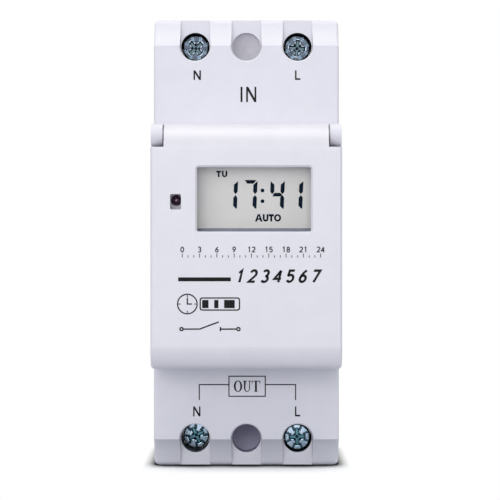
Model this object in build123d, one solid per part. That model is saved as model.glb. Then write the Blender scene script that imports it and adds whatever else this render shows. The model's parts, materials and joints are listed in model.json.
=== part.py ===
from build123d import *
import math
import os

# DIN rail timer switch, two modules wide. Sizes are in millimetres.
# X runs to the right, Y from the front of the device towards the rail, Z up.
# The origin is on the rail's centre line, in the plane of the rail's front flanges.

# Driving dimensions of the housing
WIDTH = 36.0
HEIGHT = 87.2
SHOULDER_DEPTH = 44.0
RAISED_RISE = 10.0
PANEL_RISE = 4.6
COVER_RISE = 8.0
REAR_DEPTH = 4.0
SEAM_DEPTH = 16.0
RAISED_TOP = 22.4
RAISED_BOTTOM = -24.0
WALL = 1.6
END_CORNER = 1.2
EDGE_ROUND = 0.5
SHOULDER_RUN = 5.3
SHOULDER_DROP = 4.2
SHOULDER_HOLLOW = 0.5
END_ROUND = 0.7
TONGUE = 0.8
TONGUE_DEPTH = 1.6

# Clearances
NEAR = 0.001
FIT = 0.1
SLIDE_GAP = 0.15
RUN_GAP = 0.05
SIDE_GAP = 0.6
INNER_GAP = 0.4

# 35 mm rail
CHANNEL = 35.5
SEAT_HEIGHT = 31.6
SEAT_RELIEF = 0.3
FLANGE_SPACE = 1.2
HOOK_REACH = 1.55
FLOOR = 1.5

# Sliding rail clip and its spring
CLIP_HALF_WIDTH = 5.5
CLIP_WING = 1.5
CLIP_WING_DEPTH = 1.3
CLIP_FRONT = 0.9
CLIP_BACK = 3.8
CLIP_NOSE = 1.85
CLIP_TAIL = 1.5
CLIP_TRAVEL = 5.0
STOP_HALF_WIDTH = 1.5
STOP_HEIGHT = 8.1
STOP_LENGTH = 1.8
SPRING_LENGTH = 11.2
SPRING_WIRE = 0.4
SPRING_RADIUS = 1.3
SPRING_TURNS = 8

# Terminals
TERMINAL_SIDE = 8.0
TERMINAL_INSET = 5.25
WELL_RADIUS = 2.8
POCKET_RADIUS = 2.85
POCKET_FLARE = 2.0
POCKET_DEPTH = 4.2
POCKET_MOUTH = 0.35
WELL_WALL = 1.28
BLANK_DEPTH_TOP = 2.4
BLANK_DEPTH_BOTTOM = 6.0
CAGE_WIDTH = 7.6
CAGE_LENGTH = 7.0
CAGE_TOP = 29.4
CAGE_TOP_WALL = 2.0
CAGE_FLOOR = 1.0
TUNNEL_WIDTH = 5.6
TUNNEL_HEIGHT = 8.0
FUNNEL = 0.6
SCREW_RADIUS = 2.0
HEAD_RADIUS = 2.575
HEAD_HEIGHT = 2.5
HEAD_CHAMFER = 0.3
SCREW_TRAVEL = 5.0
RECESS_WIDTH = 0.9
RECESS_REACH = 1.7
RECESS_DEPTH = 1.3
PLATE_THICKNESS = 1.2
PLATE_LENGTH = 6.0
OUT_N_TURNED_IN = 4.5
BAR_THICKNESS = 0.8
BAR_TAB = 4.4
BAR_WIDTH = 2.6

# Case screws
CASE_SCREW_INSET = 2.1
CASE_SCREW_DROP = 3.95
CASE_SCREW_RADIUS = 1.3
CASE_HEAD_RADIUS = 2.3
CASE_HEAD_HEIGHT = 1.8
CASE_BOSS_RADIUS = 2.4
CASE_COUNTERBORE = 5.0
CASE_SCREW_LENGTH = 23.0

# Flip cover and its hinge
COVER_WALL = 1.5
COVER_SIDE = 1.25
COVER_TOP_ROUND = 5.4
COVER_BOTTOM_ROUND = 4.4
COVER_CORNER = 0.9
COVER_EDGE = 0.5
COVER_REAR_GAP = 0.3
HINGE_SETBACK = 4.3
BARREL_RADIUS = 2.1
KNUCKLE_RADIUS = 2.1
EAR_THICKNESS = 2.2
EAR_GAP = 0.3
PIN_RADIUS = 0.9
PIN_LENGTH = 1.8
TROUGH_GAP = 1.05
PANEL_ROUND = 0.6

# Openings in the cover
WINDOW_DROP = 14.35
WINDOW_HEIGHT = 12.1
WINDOW_BEVEL = 0.35
LED_SLOT_WIDTH = 2.06
LED_SLOT_HEIGHT = 2.9
LED_SLOT_SHIFT = -0.07
LED_SLOT_DROP = 0.32

# Display and indicator lamp
DISPLAY_SIDE_GAP = 0.3
LENS_MARGIN = 0.6
LENS_RISE = 1.3
LENS_FLANGE = 0.4
LENS_FLANGE_THICKNESS = 0.7
RIM_WIDTH = 1.0
RIM_RISE = 1.1
GLASS_SIDE_BORDER = 2.1
GLASS_END_BORDER = 0.85
GLASS_THICKNESS = 0.7
FILM_THICKNESS = 0.2
POLARISER_STEP = 0.65
POLARISER_INSET = 0.5
CONTACT_LEDGE = 1.6
ZEBRA_THICKNESS = 1.1
HOLDER_WALL = 0.45
LED_SIDE = 1.9
LED_OFFSET = 3.95
LED_DROP = 0.15
LED_RADIUS = 1.0
LED_RISE = 0.6
LED_LENGTH = 3.7
LED_FLANGE = 0.15
LED_LEAD = 0.5

# Keys
KEY_SIDE_GAP = 0.5
KEY_GAP = 1.2
KEY_ROW_PITCH = 9.0
KEY_ROW_RISE = 8.5
KEY_HEIGHT = 3.4
KEY_ROUND = 1.2
KEY_CROWN = 0.3
KEY_FLANGE = 0.6
KEY_FLANGE_THICKNESS = 1.0
KEY_RISE = 1.1
KEY_TRAVEL = 0.6
RESET_RADIUS = 0.9
RESET_RECESS = 0.3
DOME_RADIUS = 1.8
MAT_THICKNESS = 0.8

# Control board, behind the panel
BOARD_THICKNESS = 1.6
BOARD_DEPTH = 5.1
BOARD_GAP = 0.2
BOARD_POST_RADIUS = 1.3
BOARD_POST_INSET = 1.7
BOARD_SCREW_RADIUS = 0.7
BOARD_HEAD_RADIUS = 1.3
BOARD_HEAD_HEIGHT = 1.0
BLOB_RADIUS = 5.0
BLOB_HEIGHT = 2.0
BLOB_Z = -9.0
CRYSTAL_RADIUS = 1.5
CRYSTAL_LENGTH = 7.5
BATTERY_RADIUS = 6.8
BATTERY_THICKNESS = 5.0
BATTERY_SIDE = 1.7

# Ribbon cable between the two boards
RIBBON_X = 7.4
RIBBON_WIDTH = 9.6
RIBBON_THICKNESS = 0.9
RIBBON_BEND = 5.0
RIBBON_PLUG = 2.6
RIBBON_HEAD_Z = 11.0
RIBBON_FOOT_Z = 16.8

# Power board, in front of the base floor
POWER_BOARD_FRONT = 6.0
POWER_POST_RADIUS = 2.0
POWER_PIN_RADIUS = 0.9
POWER_POST_INSET = 2.4
MAINS_CAP_WIDTH = 8.0
MAINS_CAP_LENGTH = 18.0
MAINS_CAP_HEIGHT = 12.8
SMOOTH_CAP_RADIUS = 4.0
SMOOTH_CAP_HEIGHT = 12.0
VARISTOR_RADIUS = 5.0
VARISTOR_THICKNESS = 4.0
DIODE_RADIUS = 1.35
DIODE_LENGTH = 5.2
DIODE_PITCH = 3.1
RESISTOR_RADIUS = 1.9
RESISTOR_LENGTH = 9.0
RESISTOR_PITCH = 4.2
LEAD_RADIUS = 0.4
LEAD_REACH = 1.0
COMPONENT_GAP = 0.6

# Relay on the power board
RELAY_WIDTH = 13.4
RELAY_EDGE = 1.2
RELAY_LOW = 3.4
RELAY_WALL = 0.8
RELAY_BASE = 1.6
COIL_RADIUS = 4.3
COIL_LENGTH = 17.0
COIL_LIFT = 1.7
CORE_RADIUS = 2.0
BOBBIN_WALL = 0.6
BOBBIN_FLANGE = 1.0
IRON = 1.2
IRON_WIDTH = 8.0
POLE_RADIUS = 3.2
POLE_THICKNESS = 0.8
ARMATURE_GAP = 0.8
ARMATURE_THICKNESS = 1.0
ARMATURE_LENGTH = 10.4
ARM_THICKNESS = 0.3
ARM_WIDTH = 3.0
RIVET_RADIUS = 0.8

# Positions worked out from the sizes above
HALF_WIDTH = WIDTH / 2
HALF_HEIGHT = HEIGHT / 2
INNER_HALF_WIDTH = HALF_WIDTH - WALL
INNER_HALF_HEIGHT = HALF_HEIGHT - WALL
Y_BACK = REAR_DEPTH
Y_SEAM = -SEAM_DEPTH
Y_SHOULDER = -SHOULDER_DEPTH
Y_RAISED = Y_SHOULDER - RAISED_RISE
Y_PANEL = Y_RAISED - PANEL_RISE
Y_COVER = Y_RAISED - COVER_RISE
Y_END = Y_SHOULDER + SHOULDER_DROP
Y_POCKET = Y_SHOULDER + POCKET_DEPTH
HALF_CHANNEL = CHANNEL / 2

# Hinge and panel
HINGE_Y = Y_COVER + HINGE_SETBACK
HINGE_Z = RAISED_TOP - BARREL_RADIUS
TROUGH_RADIUS = BARREL_RADIUS + TROUGH_GAP
EAR_INNER = HALF_WIDTH - EAR_THICKNESS
BARREL_END = EAR_INNER - EAR_GAP
NOTCH_Z = HINGE_Z - KNUCKLE_RADIUS - EAR_GAP
PANEL_HALF_WIDTH = HALF_WIDTH - COVER_SIDE - SLIDE_GAP
PANEL_BOTTOM = RAISED_BOTTOM + COVER_SIDE + SLIDE_GAP
PANEL_INNER_HALF_WIDTH = PANEL_HALF_WIDTH - COVER_WALL
PANEL_INNER_BOTTOM = PANEL_BOTTOM + COVER_WALL
PANEL_INNER_TOP = HINGE_Z - TROUGH_RADIUS - COVER_WALL
Y_PANEL_INNER = Y_PANEL + WALL
Y_BOARD = Y_PANEL + BOARD_DEPTH
Y_BOARD_BACK = Y_BOARD + BOARD_THICKNESS
BATTERY_X = BATTERY_SIDE + BATTERY_RADIUS - PANEL_INNER_HALF_WIDTH

# Display, from the clear window back to the board
LED_X = LED_SIDE - PANEL_INNER_HALF_WIDTH
WINDOW_LEFT = LED_X + LED_OFFSET
WINDOW_RIGHT = PANEL_INNER_HALF_WIDTH - DISPLAY_SIDE_GAP - HOLDER_WALL - FIT - GLASS_SIDE_BORDER
WINDOW_WIDTH = WINDOW_RIGHT - WINDOW_LEFT
WINDOW_X = (WINDOW_LEFT + WINDOW_RIGHT) / 2
WINDOW_Z = RAISED_TOP - WINDOW_DROP
Y_LENS_BACK = Y_PANEL_INNER + LENS_FLANGE_THICKNESS
Y_POLARISER = Y_LENS_BACK + FIT
Y_FRONT_GLASS = Y_POLARISER + FILM_THICKNESS
Y_REAR_GLASS = Y_FRONT_GLASS + GLASS_THICKNESS
Y_REFLECTOR = Y_REAR_GLASS + GLASS_THICKNESS
Y_HOLDER_FLOOR = Y_REFLECTOR + FILM_THICKNESS
GLASS_WIDTH = WINDOW_WIDTH + 2 * GLASS_SIDE_BORDER
GLASS_HEIGHT = WINDOW_HEIGHT + 2 * GLASS_END_BORDER
GLASS_Z = PANEL_INNER_TOP - HOLDER_WALL - 2 * FIT - GLASS_HEIGHT / 2
LED_Z = WINDOW_Z - LED_DROP
LED_SLOT_X = LED_X + LED_SLOT_SHIFT
LED_SLOT_Z = LED_Z - LED_SLOT_DROP
Y_LED_TIP = Y_PANEL - LED_RISE
Y_LED_BASE = Y_LED_TIP + LED_LENGTH

# Keys
KEY_SPAN = 2 * (PANEL_INNER_HALF_WIDTH - KEY_SIDE_GAP)
KEY_WIDTH = (KEY_SPAN - 3 * KEY_GAP) / 4 - 2 * KEY_FLANGE
KEY_PITCH = KEY_WIDTH + 2 * KEY_FLANGE + KEY_GAP
KEY_ROW_BOTTOM = RAISED_BOTTOM + KEY_ROW_RISE
KEY_ROW_TOP = KEY_ROW_BOTTOM + KEY_ROW_PITCH
Y_KEY_BACK = Y_PANEL_INNER + KEY_FLANGE_THICKNESS
Y_DOME = Y_KEY_BACK + KEY_TRAVEL + FIT
Y_MAT = Y_BOARD - MAT_THICKNESS

# Terminals
TERMINAL_PITCH = HALF_WIDTH - TERMINAL_SIDE
TERMINAL_Z = HALF_HEIGHT - TERMINAL_INSET
Y_CAGE_TOP = -CAGE_TOP
Y_WELL_END = Y_CAGE_TOP - INNER_GAP
Y_TUNNEL_TOP = Y_CAGE_TOP + CAGE_TOP_WALL
Y_TUNNEL_FLOOR = Y_TUNNEL_TOP + TUNNEL_HEIGHT
Y_CAGE_BOTTOM = Y_TUNNEL_FLOOR + CAGE_FLOOR
Y_BAR = Y_TUNNEL_FLOOR - BAR_THICKNESS
CAGE_FAR = INNER_HALF_HEIGHT - SLIDE_GAP
CAGE_NEAR = CAGE_FAR - CAGE_LENGTH
SCREW_SHANK = CAGE_TOP_WALL + SCREW_TRAVEL + 2 * FIT

# Case screws, rail clip stop and power board
CASE_SCREW_X = INNER_HALF_WIDTH - CASE_SCREW_INSET
CASE_SCREW_Z = CAGE_NEAR - CASE_SCREW_DROP
STOP_TOP = -HALF_HEIGHT + STOP_HEIGHT
Y_CLIP_MIDDLE = (CLIP_FRONT + CLIP_BACK) / 2
Y_POWER = -POWER_BOARD_FRONT
Y_POWER_BACK = Y_POWER + BOARD_THICKNESS
POWER_HALF_WIDTH = INNER_HALF_WIDTH - SIDE_GAP
POWER_HALF_HEIGHT = CASE_SCREW_Z - CASE_BOSS_RADIUS - 2 * INNER_GAP
POWER_POST_X = POWER_HALF_WIDTH - POWER_POST_INSET
POWER_POST_Z = POWER_HALF_HEIGHT - POWER_POST_INSET
BAR_LANDING_Z = POWER_HALF_HEIGHT - 2 * BAR_THICKNESS

# Relay, along its coil and from its base towards the front
RELAY_X = POWER_HALF_WIDTH - RELAY_EDGE - RELAY_WIDTH / 2
RELAY_Z0 = -POWER_HALF_HEIGHT + RELAY_LOW
Z_YOKE = RELAY_Z0 + RELAY_WALL + INNER_GAP
Z_BOBBIN = Z_YOKE + IRON
Z_WINDING = Z_BOBBIN + BOBBIN_FLANGE
Z_BOBBIN_END = Z_WINDING + COIL_LENGTH + BOBBIN_FLANGE
Z_POLE = Z_BOBBIN_END + SLIDE_GAP
Z_POLE_FACE = Z_POLE + POLE_THICKNESS
Z_ARMATURE = Z_POLE_FACE + ARMATURE_GAP
Z_ARM = Z_ARMATURE + ARMATURE_THICKNESS
Z_RELAY_END = Z_ARM + ARM_THICKNESS + INNER_GAP + RELAY_WALL
Y_RELAY_BASE = Y_POWER - RELAY_BASE
FLANGE_RADIUS = COIL_RADIUS + BOBBIN_WALL
Y_COIL = Y_RELAY_BASE - COIL_LIFT - FLANGE_RADIUS
Y_YOKE_INNER = Y_COIL - FLANGE_RADIUS - INNER_GAP
Y_YOKE = Y_YOKE_INNER - IRON
Y_RELAY_TOP = Y_YOKE - 2 * INNER_GAP - RELAY_WALL

# Name of each terminal, its side in X, its end in Z and how far its screw is turned in
TERMINALS = {
    "in_n": (-1, 1, 0.0),
    "in_l": (1, 1, 0.0),
    "out_n": (-1, -1, OUT_N_TURNED_IN),
    "out_l": (1, -1, 0.0),
}
RECESS_ANGLES = {"in_n": 41.0, "in_l": -6.0, "out_n": 25.0, "out_l": 2.0}

# Name of each key with its column and row
KEYS = {
    "key_program": (-1.5, KEY_ROW_TOP),
    "key_day": (-0.5, KEY_ROW_TOP),
    "key_hour": (0.5, KEY_ROW_TOP),
    "key_minute": (1.5, KEY_ROW_TOP),
    "key_clock": (-1.5, KEY_ROW_BOTTOM),
    "key_manual": (-0.5, KEY_ROW_BOTTOM),
    "key_clear": (0.5, KEY_ROW_BOTTOM),
    "key_reset": (1.5, KEY_ROW_BOTTOM),
}

# Corners of the control board that rest on posts
CONTROL_POSTS = [
    (-PANEL_INNER_HALF_WIDTH + BOARD_POST_INSET, PANEL_INNER_BOTTOM + BOARD_POST_INSET),
    (PANEL_INNER_HALF_WIDTH - BOARD_POST_INSET, PANEL_INNER_BOTTOM + BOARD_POST_INSET),
    (-PANEL_INNER_HALF_WIDTH + BOARD_POST_INSET, PANEL_INNER_TOP - BOARD_POST_INSET),
]


def block(x0, x1, y0, y1, z0, z1):
    """A box between two corners."""
    centre = Pos((x0 + x1) / 2, (y0 + y1) / 2, (z0 + z1) / 2)
    return centre * Box(abs(x1 - x0), abs(y1 - y0), abs(z1 - z0))


def rod(x, z, y0, y1, radius):
    """A round bar along Y."""
    return Pos(x, (y0 + y1) / 2, z) * Rot(X=90) * Cylinder(radius, abs(y1 - y0))


def rod_x(y, z, x0, x1, radius):
    """A round bar along X."""
    return Pos((x0 + x1) / 2, y, z) * Rot(Y=90) * Cylinder(radius, abs(x1 - x0))


def rod_z(x, y, z0, z1, radius):
    """A round bar along Z."""
    return Pos(x, y, (z0 + z1) / 2) * Cylinder(radius, abs(z1 - z0))


def slab(sketch, y0, y1, taper=0.0):
    """A flat sketch in X and Z, filled from y1 forward to y0."""
    return extrude(Plane.XZ.offset(-y1) * sketch, amount=y1 - y0, taper=taper)


def side_profile(outline, x0, x1):
    """A closed outline in Y and Z, filled from x0 to x1."""
    return extrude(Plane.YZ.offset(x0) * make_face(outline), amount=x1 - x0)


def rounded(x, z, width, height, radius):
    """A rounded rectangle centred on x and z."""
    return Pos(x, z) * RectangleRounded(width, height, radius)


def end_arc(sign, inset=0.0):
    """The hollow-curved drop from a shoulder to the end of the housing, with its rounded edge."""
    end_z = sign * (HALF_HEIGHT - inset)
    rim = (Y_END + END_ROUND + inset, end_z)
    crest = (Y_END - END_ROUND + inset, end_z - sign * END_ROUND)
    top = (Y_SHOULDER + inset, sign * (HALF_HEIGHT - SHOULDER_RUN - inset / 2))
    run = (top[0] - crest[0], top[1] - crest[1])
    length = math.hypot(*run)
    normal = (-abs(run[1]) / length, sign * abs(run[0]) / length)
    middle = (
        (crest[0] + top[0]) / 2 - SHOULDER_HOLLOW * normal[0],
        (crest[1] + top[1]) / 2 - SHOULDER_HOLLOW * normal[1],
    )
    nose = (
        Y_END + inset - END_ROUND * 0.3,
        end_z - sign * END_ROUND * 0.25,
    )
    return rim, nose, crest, middle, top


def housing_outline(inset=0.0, raised=True):
    """The side view of the front housing, from the seam to the raised block."""
    low = end_arc(-1, inset)
    high = end_arc(1, inset)
    seam_low = (Y_SEAM, -HALF_HEIGHT + inset)
    seam_high = (Y_SEAM, HALF_HEIGHT - inset)
    steps = [
        (Y_SHOULDER + inset, RAISED_BOTTOM + inset),
        (Y_RAISED + inset, RAISED_BOTTOM + inset),
        (Y_RAISED + inset, RAISED_TOP - inset),
        (Y_SHOULDER + inset, RAISED_TOP - inset),
    ]
    if not raised:
        steps = []
    return [
        Line(seam_low, low[0]),
        ThreePointArc(low[0], low[1], low[2]),
        ThreePointArc(low[2], low[3], low[4]),
        Polyline(low[4], *steps, high[4]),
        ThreePointArc(high[4], high[3], high[2]),
        ThreePointArc(high[2], high[1], high[0]),
        Polyline(high[0], seam_high, seam_low),
    ]


def terminal_places():
    """Every screw hole of the two shoulders as x, end sign and whether it holds a screw."""
    for sign in (-1, 1):
        for column in (-1, 0, 1):
            yield column * TERMINAL_PITCH, sign, column != 0


def well_pocket(x, sign):
    """The open pocket round a screw hole, which runs out through the end of the housing."""
    z = sign * TERMINAL_Z
    outer = HALF_HEIGHT + WALL
    length = outer - TERMINAL_Z
    round_end = Pos(x, z) * Circle(POCKET_RADIUS)
    channel = Pos(x, z + sign * length / 2) * Rectangle(2 * POCKET_RADIUS, length)
    pocket = slab(round_end + channel, Y_SHOULDER - FIT, Y_POCKET, taper=-POCKET_FLARE)
    mouth = Pos(x, Y_SHOULDER + POCKET_MOUTH / 2, z) * Rot(X=90) * Cone(
        POCKET_RADIUS, POCKET_RADIUS + POCKET_MOUTH, POCKET_MOUTH
    )
    return pocket + mouth


def blank_depth(sign):
    """How far an unused hole goes below its pocket, at the top or at the bottom end."""
    return BLANK_DEPTH_TOP if sign > 0 else BLANK_DEPTH_BOTTOM


def blank_hole(x, sign):
    """An unused screw hole with a drill-point bottom."""
    z = sign * TERMINAL_Z
    bottom = Y_POCKET + blank_depth(sign)
    hole = rod(x, z, Y_POCKET - FIT, bottom, WELL_RADIUS)
    tip = Pos(x, bottom + WELL_WALL / 2, z) * Rot(X=90) * Cone(
        FIT, WELL_RADIUS, WELL_WALL
    )
    return hole + tip


def wire_entry(x, sign):
    """The funnel and the opening for a wire in the end of the housing."""
    y_mid = (Y_TUNNEL_TOP + Y_TUNNEL_FLOOR) / 2
    opening = block(
        x - TUNNEL_WIDTH / 2, x + TUNNEL_WIDTH / 2,
        Y_TUNNEL_TOP, Y_TUNNEL_FLOOR,
        sign * (INNER_HALF_HEIGHT - FIT), sign * (HALF_HEIGHT + FIT),
    )
    plane = Plane(origin=(x, y_mid, sign * HALF_HEIGHT), x_dir=(1, 0, 0), z_dir=(0, 0, sign))
    mouth = plane * Rectangle(TUNNEL_WIDTH + 2 * FUNNEL, TUNNEL_HEIGHT + 2 * FUNNEL)
    throat = plane.offset(-FUNNEL) * Rectangle(TUNNEL_WIDTH, TUNNEL_HEIGHT)
    return opening + loft([throat, mouth])


def case_screw_places():
    """The four case screws."""
    for sx in (-1, 1):
        for sz in (-1, 1):
            yield sx * CASE_SCREW_X, sz * CASE_SCREW_Z


def key_outline(name, grow=0.0):
    """The outline of a key in the panel, grown for its hole or its flange."""
    column, row = KEYS[name]
    if name == "key_reset":
        return Pos(column * KEY_PITCH, row) * Circle(RESET_RADIUS + grow)
    return rounded(
        column * KEY_PITCH, row,
        KEY_WIDTH + 2 * grow, KEY_HEIGHT + 2 * grow, KEY_ROUND + grow,
    )


def lens_outline(grow=0.0):
    """The outline of the clear window over the display."""
    width = WINDOW_WIDTH + 2 * (LENS_MARGIN + grow)
    height = WINDOW_HEIGHT + 2 * (LENS_MARGIN + grow)
    return rounded(WINDOW_X, WINDOW_Z, width, height, LENS_MARGIN + max(grow, 0.0))


def front_housing():
    """The moulded front housing: shoulders, screw wells, raised block, panel and hinge ears."""
    body = side_profile(housing_outline(), -HALF_WIDTH, HALF_WIDTH)
    long_edges = [
        e for e in body.edges()
        if abs(abs(e.center().X) - HALF_WIDTH) < NEAR and e.center().Y < Y_SEAM - FIT
    ]
    body = fillet(long_edges, EDGE_ROUND)
    corners = slab(rounded(0, 0, WIDTH, HEIGHT, END_CORNER), Y_COVER, Y_SEAM)
    body = body & corners
    panel = block(
        -PANEL_HALF_WIDTH, PANEL_HALF_WIDTH, Y_PANEL, Y_RAISED + FIT,
        PANEL_BOTTOM, HINGE_Z,
    )
    panel_edges = [
        e for e in panel.edges().group_by(Axis.Y)[0] if e.center().Z < HINGE_Z - FIT
    ]
    panel = fillet(panel_edges, PANEL_ROUND)
    lip = block(-EAR_INNER, EAR_INNER, Y_PANEL, Y_RAISED + FIT, HINGE_Z, RAISED_TOP)
    body = body + panel + lip
    body -= rod_x(HINGE_Y, HINGE_Z, -HALF_WIDTH - FIT, HALF_WIDTH + FIT, TROUGH_RADIUS)
    body -= block(
        -HALF_WIDTH, HALF_WIDTH, Y_COVER, HINGE_Y, HINGE_Z - TROUGH_RADIUS, RAISED_TOP + FIT
    )
    for side in (-1, 1):
        body += hinge_ear(side)
    body -= side_profile(housing_outline(WALL), -INNER_HALF_WIDTH, INNER_HALF_WIDTH)
    body -= block(
        -PANEL_INNER_HALF_WIDTH, PANEL_INNER_HALF_WIDTH,
        Y_PANEL_INNER, Y_RAISED + WALL + FIT,
        PANEL_INNER_BOTTOM, PANEL_INNER_TOP,
    )
    for x, sign, live in terminal_places():
        body += well_boss(x, sign, live)
    for x, z in case_screw_places():
        body += rod(x, z, Y_SHOULDER + WALL / 2, Y_SEAM, CASE_BOSS_RADIUS)
    for x, z in CONTROL_POSTS:
        body += rod(x, z, Y_PANEL_INNER - FIT, Y_BOARD, BOARD_POST_RADIUS)
    body += slab(lens_outline(RIM_WIDTH), Y_PANEL - RIM_RISE, Y_PANEL + FIT)
    body += tongue()
    body = body & envelope()
    for x, sign, live in terminal_places():
        body -= well_pocket(x, sign)
        if live:
            body -= rod(x, sign * TERMINAL_Z, Y_POCKET - FIT, Y_WELL_END + FIT, WELL_RADIUS)
            body -= wire_entry(x, sign)
        else:
            body -= blank_hole(x, sign)
    for x, z in case_screw_places():
        depth = Y_BACK - CASE_COUNTERBORE - CASE_SCREW_LENGTH - FIT
        body -= rod(x, z, depth, Y_SEAM + FIT, CASE_SCREW_RADIUS + RUN_GAP)
    for x, z in CONTROL_POSTS:
        body -= rod(x, z, Y_PANEL_INNER, Y_BOARD + FIT, BOARD_SCREW_RADIUS + RUN_GAP)
    body -= slab(lens_outline(FIT), Y_COVER, Y_PANEL_INNER + FIT)
    body -= rod(LED_X, LED_Z, Y_PANEL - FIT, Y_PANEL_INNER + FIT, LED_RADIUS + RUN_GAP)
    for name in KEYS:
        body -= slab(key_outline(name, SLIDE_GAP), Y_PANEL - FIT, Y_PANEL_INNER + FIT)
    return body


def envelope():
    """The space that the front housing may fill."""
    whole = side_profile(housing_outline(), -HALF_WIDTH, HALF_WIDTH)
    front = block(-HALF_WIDTH, HALF_WIDTH, Y_COVER, Y_RAISED, RAISED_BOTTOM, RAISED_TOP)
    seam = block(
        -HALF_WIDTH, HALF_WIDTH, Y_SEAM, Y_SEAM + TONGUE_DEPTH, -HALF_HEIGHT, HALF_HEIGHT
    )
    return whole + front + seam


def lip_ring(gap):
    """The ring between the inside of the walls and the inner lip, less a gap."""
    reach = TONGUE - gap
    outer = rounded(
        0, 0, 2 * (INNER_HALF_WIDTH + reach), 2 * (INNER_HALF_HEIGHT + reach), END_CORNER
    )
    return outer - Rectangle(2 * INNER_HALF_WIDTH, 2 * INNER_HALF_HEIGHT)


def tongue():
    """The inner lip of the front housing that locates the base."""
    return slab(lip_ring(FIT), Y_SEAM - FIT, Y_SEAM + TONGUE_DEPTH - FIT)


def hinge_ear(side):
    """One ear of the cover hinge, with the blind bore for the cover's pin."""
    inner = side * EAR_INNER
    outer = side * HALF_WIDTH
    ear = rod_x(HINGE_Y, HINGE_Z, inner, outer, KNUCKLE_RADIUS)
    ear += block(
        inner, outer, HINGE_Y, Y_RAISED + FIT,
        HINGE_Z - KNUCKLE_RADIUS, HINGE_Z + KNUCKLE_RADIUS,
    )
    bore_end = side * (BARREL_END + PIN_LENGTH + FIT)
    return ear - rod_x(HINGE_Y, HINGE_Z, inner, bore_end, PIN_RADIUS + RUN_GAP)


def well_boss(x, sign, live):
    """The wall round a screw well and its pocket, inside the housing."""
    z = sign * TERMINAL_Z
    radius = WELL_RADIUS + WELL_WALL
    end = Y_WELL_END
    if not live:
        end = Y_POCKET + blank_depth(sign) + 2 * WELL_WALL
    tube = rod(x, z, Y_SHOULDER + WALL / 2, end, radius)
    shelf = block(
        x - radius, x + radius, Y_SHOULDER + WALL / 2, Y_POCKET + WALL,
        z, sign * (HALF_HEIGHT - FIT),
    )
    return tube + shelf


def base_housing():
    """The moulded base: rail channel, fixed hook, clip slide, board posts and cage seats."""
    body = slab(rounded(0, 0, WIDTH, HEIGHT, END_CORNER), Y_SEAM, Y_BACK)
    body -= block(
        -HALF_WIDTH - FIT, HALF_WIDTH + FIT, 0, Y_BACK + FIT, -HALF_CHANNEL, HALF_CHANNEL
    )
    for sign in (-1, 1):
        body -= block(
            -HALF_WIDTH - FIT, HALF_WIDTH + FIT, -SEAT_RELIEF, FIT,
            sign * SEAT_HEIGHT / 2, sign * HALF_CHANNEL,
        )
    body += block(
        -HALF_WIDTH, HALF_WIDTH, FLANGE_SPACE, Y_BACK,
        HALF_CHANNEL - HOOK_REACH, HALF_CHANNEL + FIT,
    )
    body -= block(
        -INNER_HALF_WIDTH, INNER_HALF_WIDTH, Y_SEAM - FIT, -FLOOR,
        -INNER_HALF_HEIGHT, INNER_HALF_HEIGHT,
    )
    for pocket in rear_pockets():
        body -= pocket
    back = Y_BACK - WALL / 2
    counterbore = Y_BACK - CASE_COUNTERBORE
    for x, z in case_screw_places():
        body += rod(x, z, Y_SEAM, back, CASE_BOSS_RADIUS)
        body += rod(x, z, counterbore - WALL, back, CASE_HEAD_RADIUS + 2 * FIT + WALL / 2)
    for x, z in power_posts():
        body += rod(x, z, Y_POWER_BACK, back, POWER_POST_RADIUS)
        body += rod(x, z, Y_POWER - POWER_PIN_RADIUS, Y_POWER_BACK, POWER_PIN_RADIUS)
    for name in TERMINALS:
        body += cage_seat(name)
    body -= slab(lip_ring(0.0), Y_SEAM - FIT, Y_SEAM + TONGUE_DEPTH)
    for x, z in case_screw_places():
        body -= rod(x, z, Y_SEAM - FIT, Y_BACK, CASE_SCREW_RADIUS + FIT)
        body -= rod(x, z, counterbore, Y_BACK + FIT, CASE_HEAD_RADIUS + 2 * FIT)
    body -= clip_slot()
    stop_z = STOP_TOP - STOP_LENGTH
    body += block(
        -STOP_HALF_WIDTH, STOP_HALF_WIDTH, CLIP_FRONT - SLIDE_GAP - FIT, CLIP_BACK - SLIDE_GAP,
        stop_z, STOP_TOP,
    )
    return body


def rear_pockets():
    """The hollows that thin the base above the rail and beside the clip."""
    beside = CLIP_HALF_WIDTH + CLIP_WING + SLIDE_GAP + WALL
    near = HALF_CHANNEL + WALL
    back = Y_BACK - WALL
    yield block(
        -INNER_HALF_WIDTH, INNER_HALF_WIDTH, -FLOOR - FIT, back, near, INNER_HALF_HEIGHT
    )
    for side in (-1, 1):
        yield block(
            side * beside, side * INNER_HALF_WIDTH, -FLOOR - FIT, back,
            -INNER_HALF_HEIGHT, -near,
        )


def power_posts():
    """The four posts that carry the power board."""
    for sx in (-1, 1):
        for sz in (-1, 1):
            yield sx * POWER_POST_X, sz * POWER_POST_Z


def cage_seat(name):
    """The ribbed pedestal that a terminal cage stands on."""
    side, sign, _ = TERMINALS[name]
    x = side * TERMINAL_PITCH
    half = CAGE_WIDTH / 2 - FIT
    near = sign * CAGE_NEAR
    far = sign * CAGE_FAR
    back = Y_BACK - WALL / 2
    seat = block(x - half, x + half, Y_CAGE_BOTTOM, Y_CAGE_BOTTOM + WALL, near, far)
    web = block(x - WALL / 2, x + WALL / 2, Y_CAGE_BOTTOM, back, near, far)
    ribs = block(x - half, x + half, Y_CAGE_BOTTOM, back, near, near + sign * WALL)
    return seat + web + ribs


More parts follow.
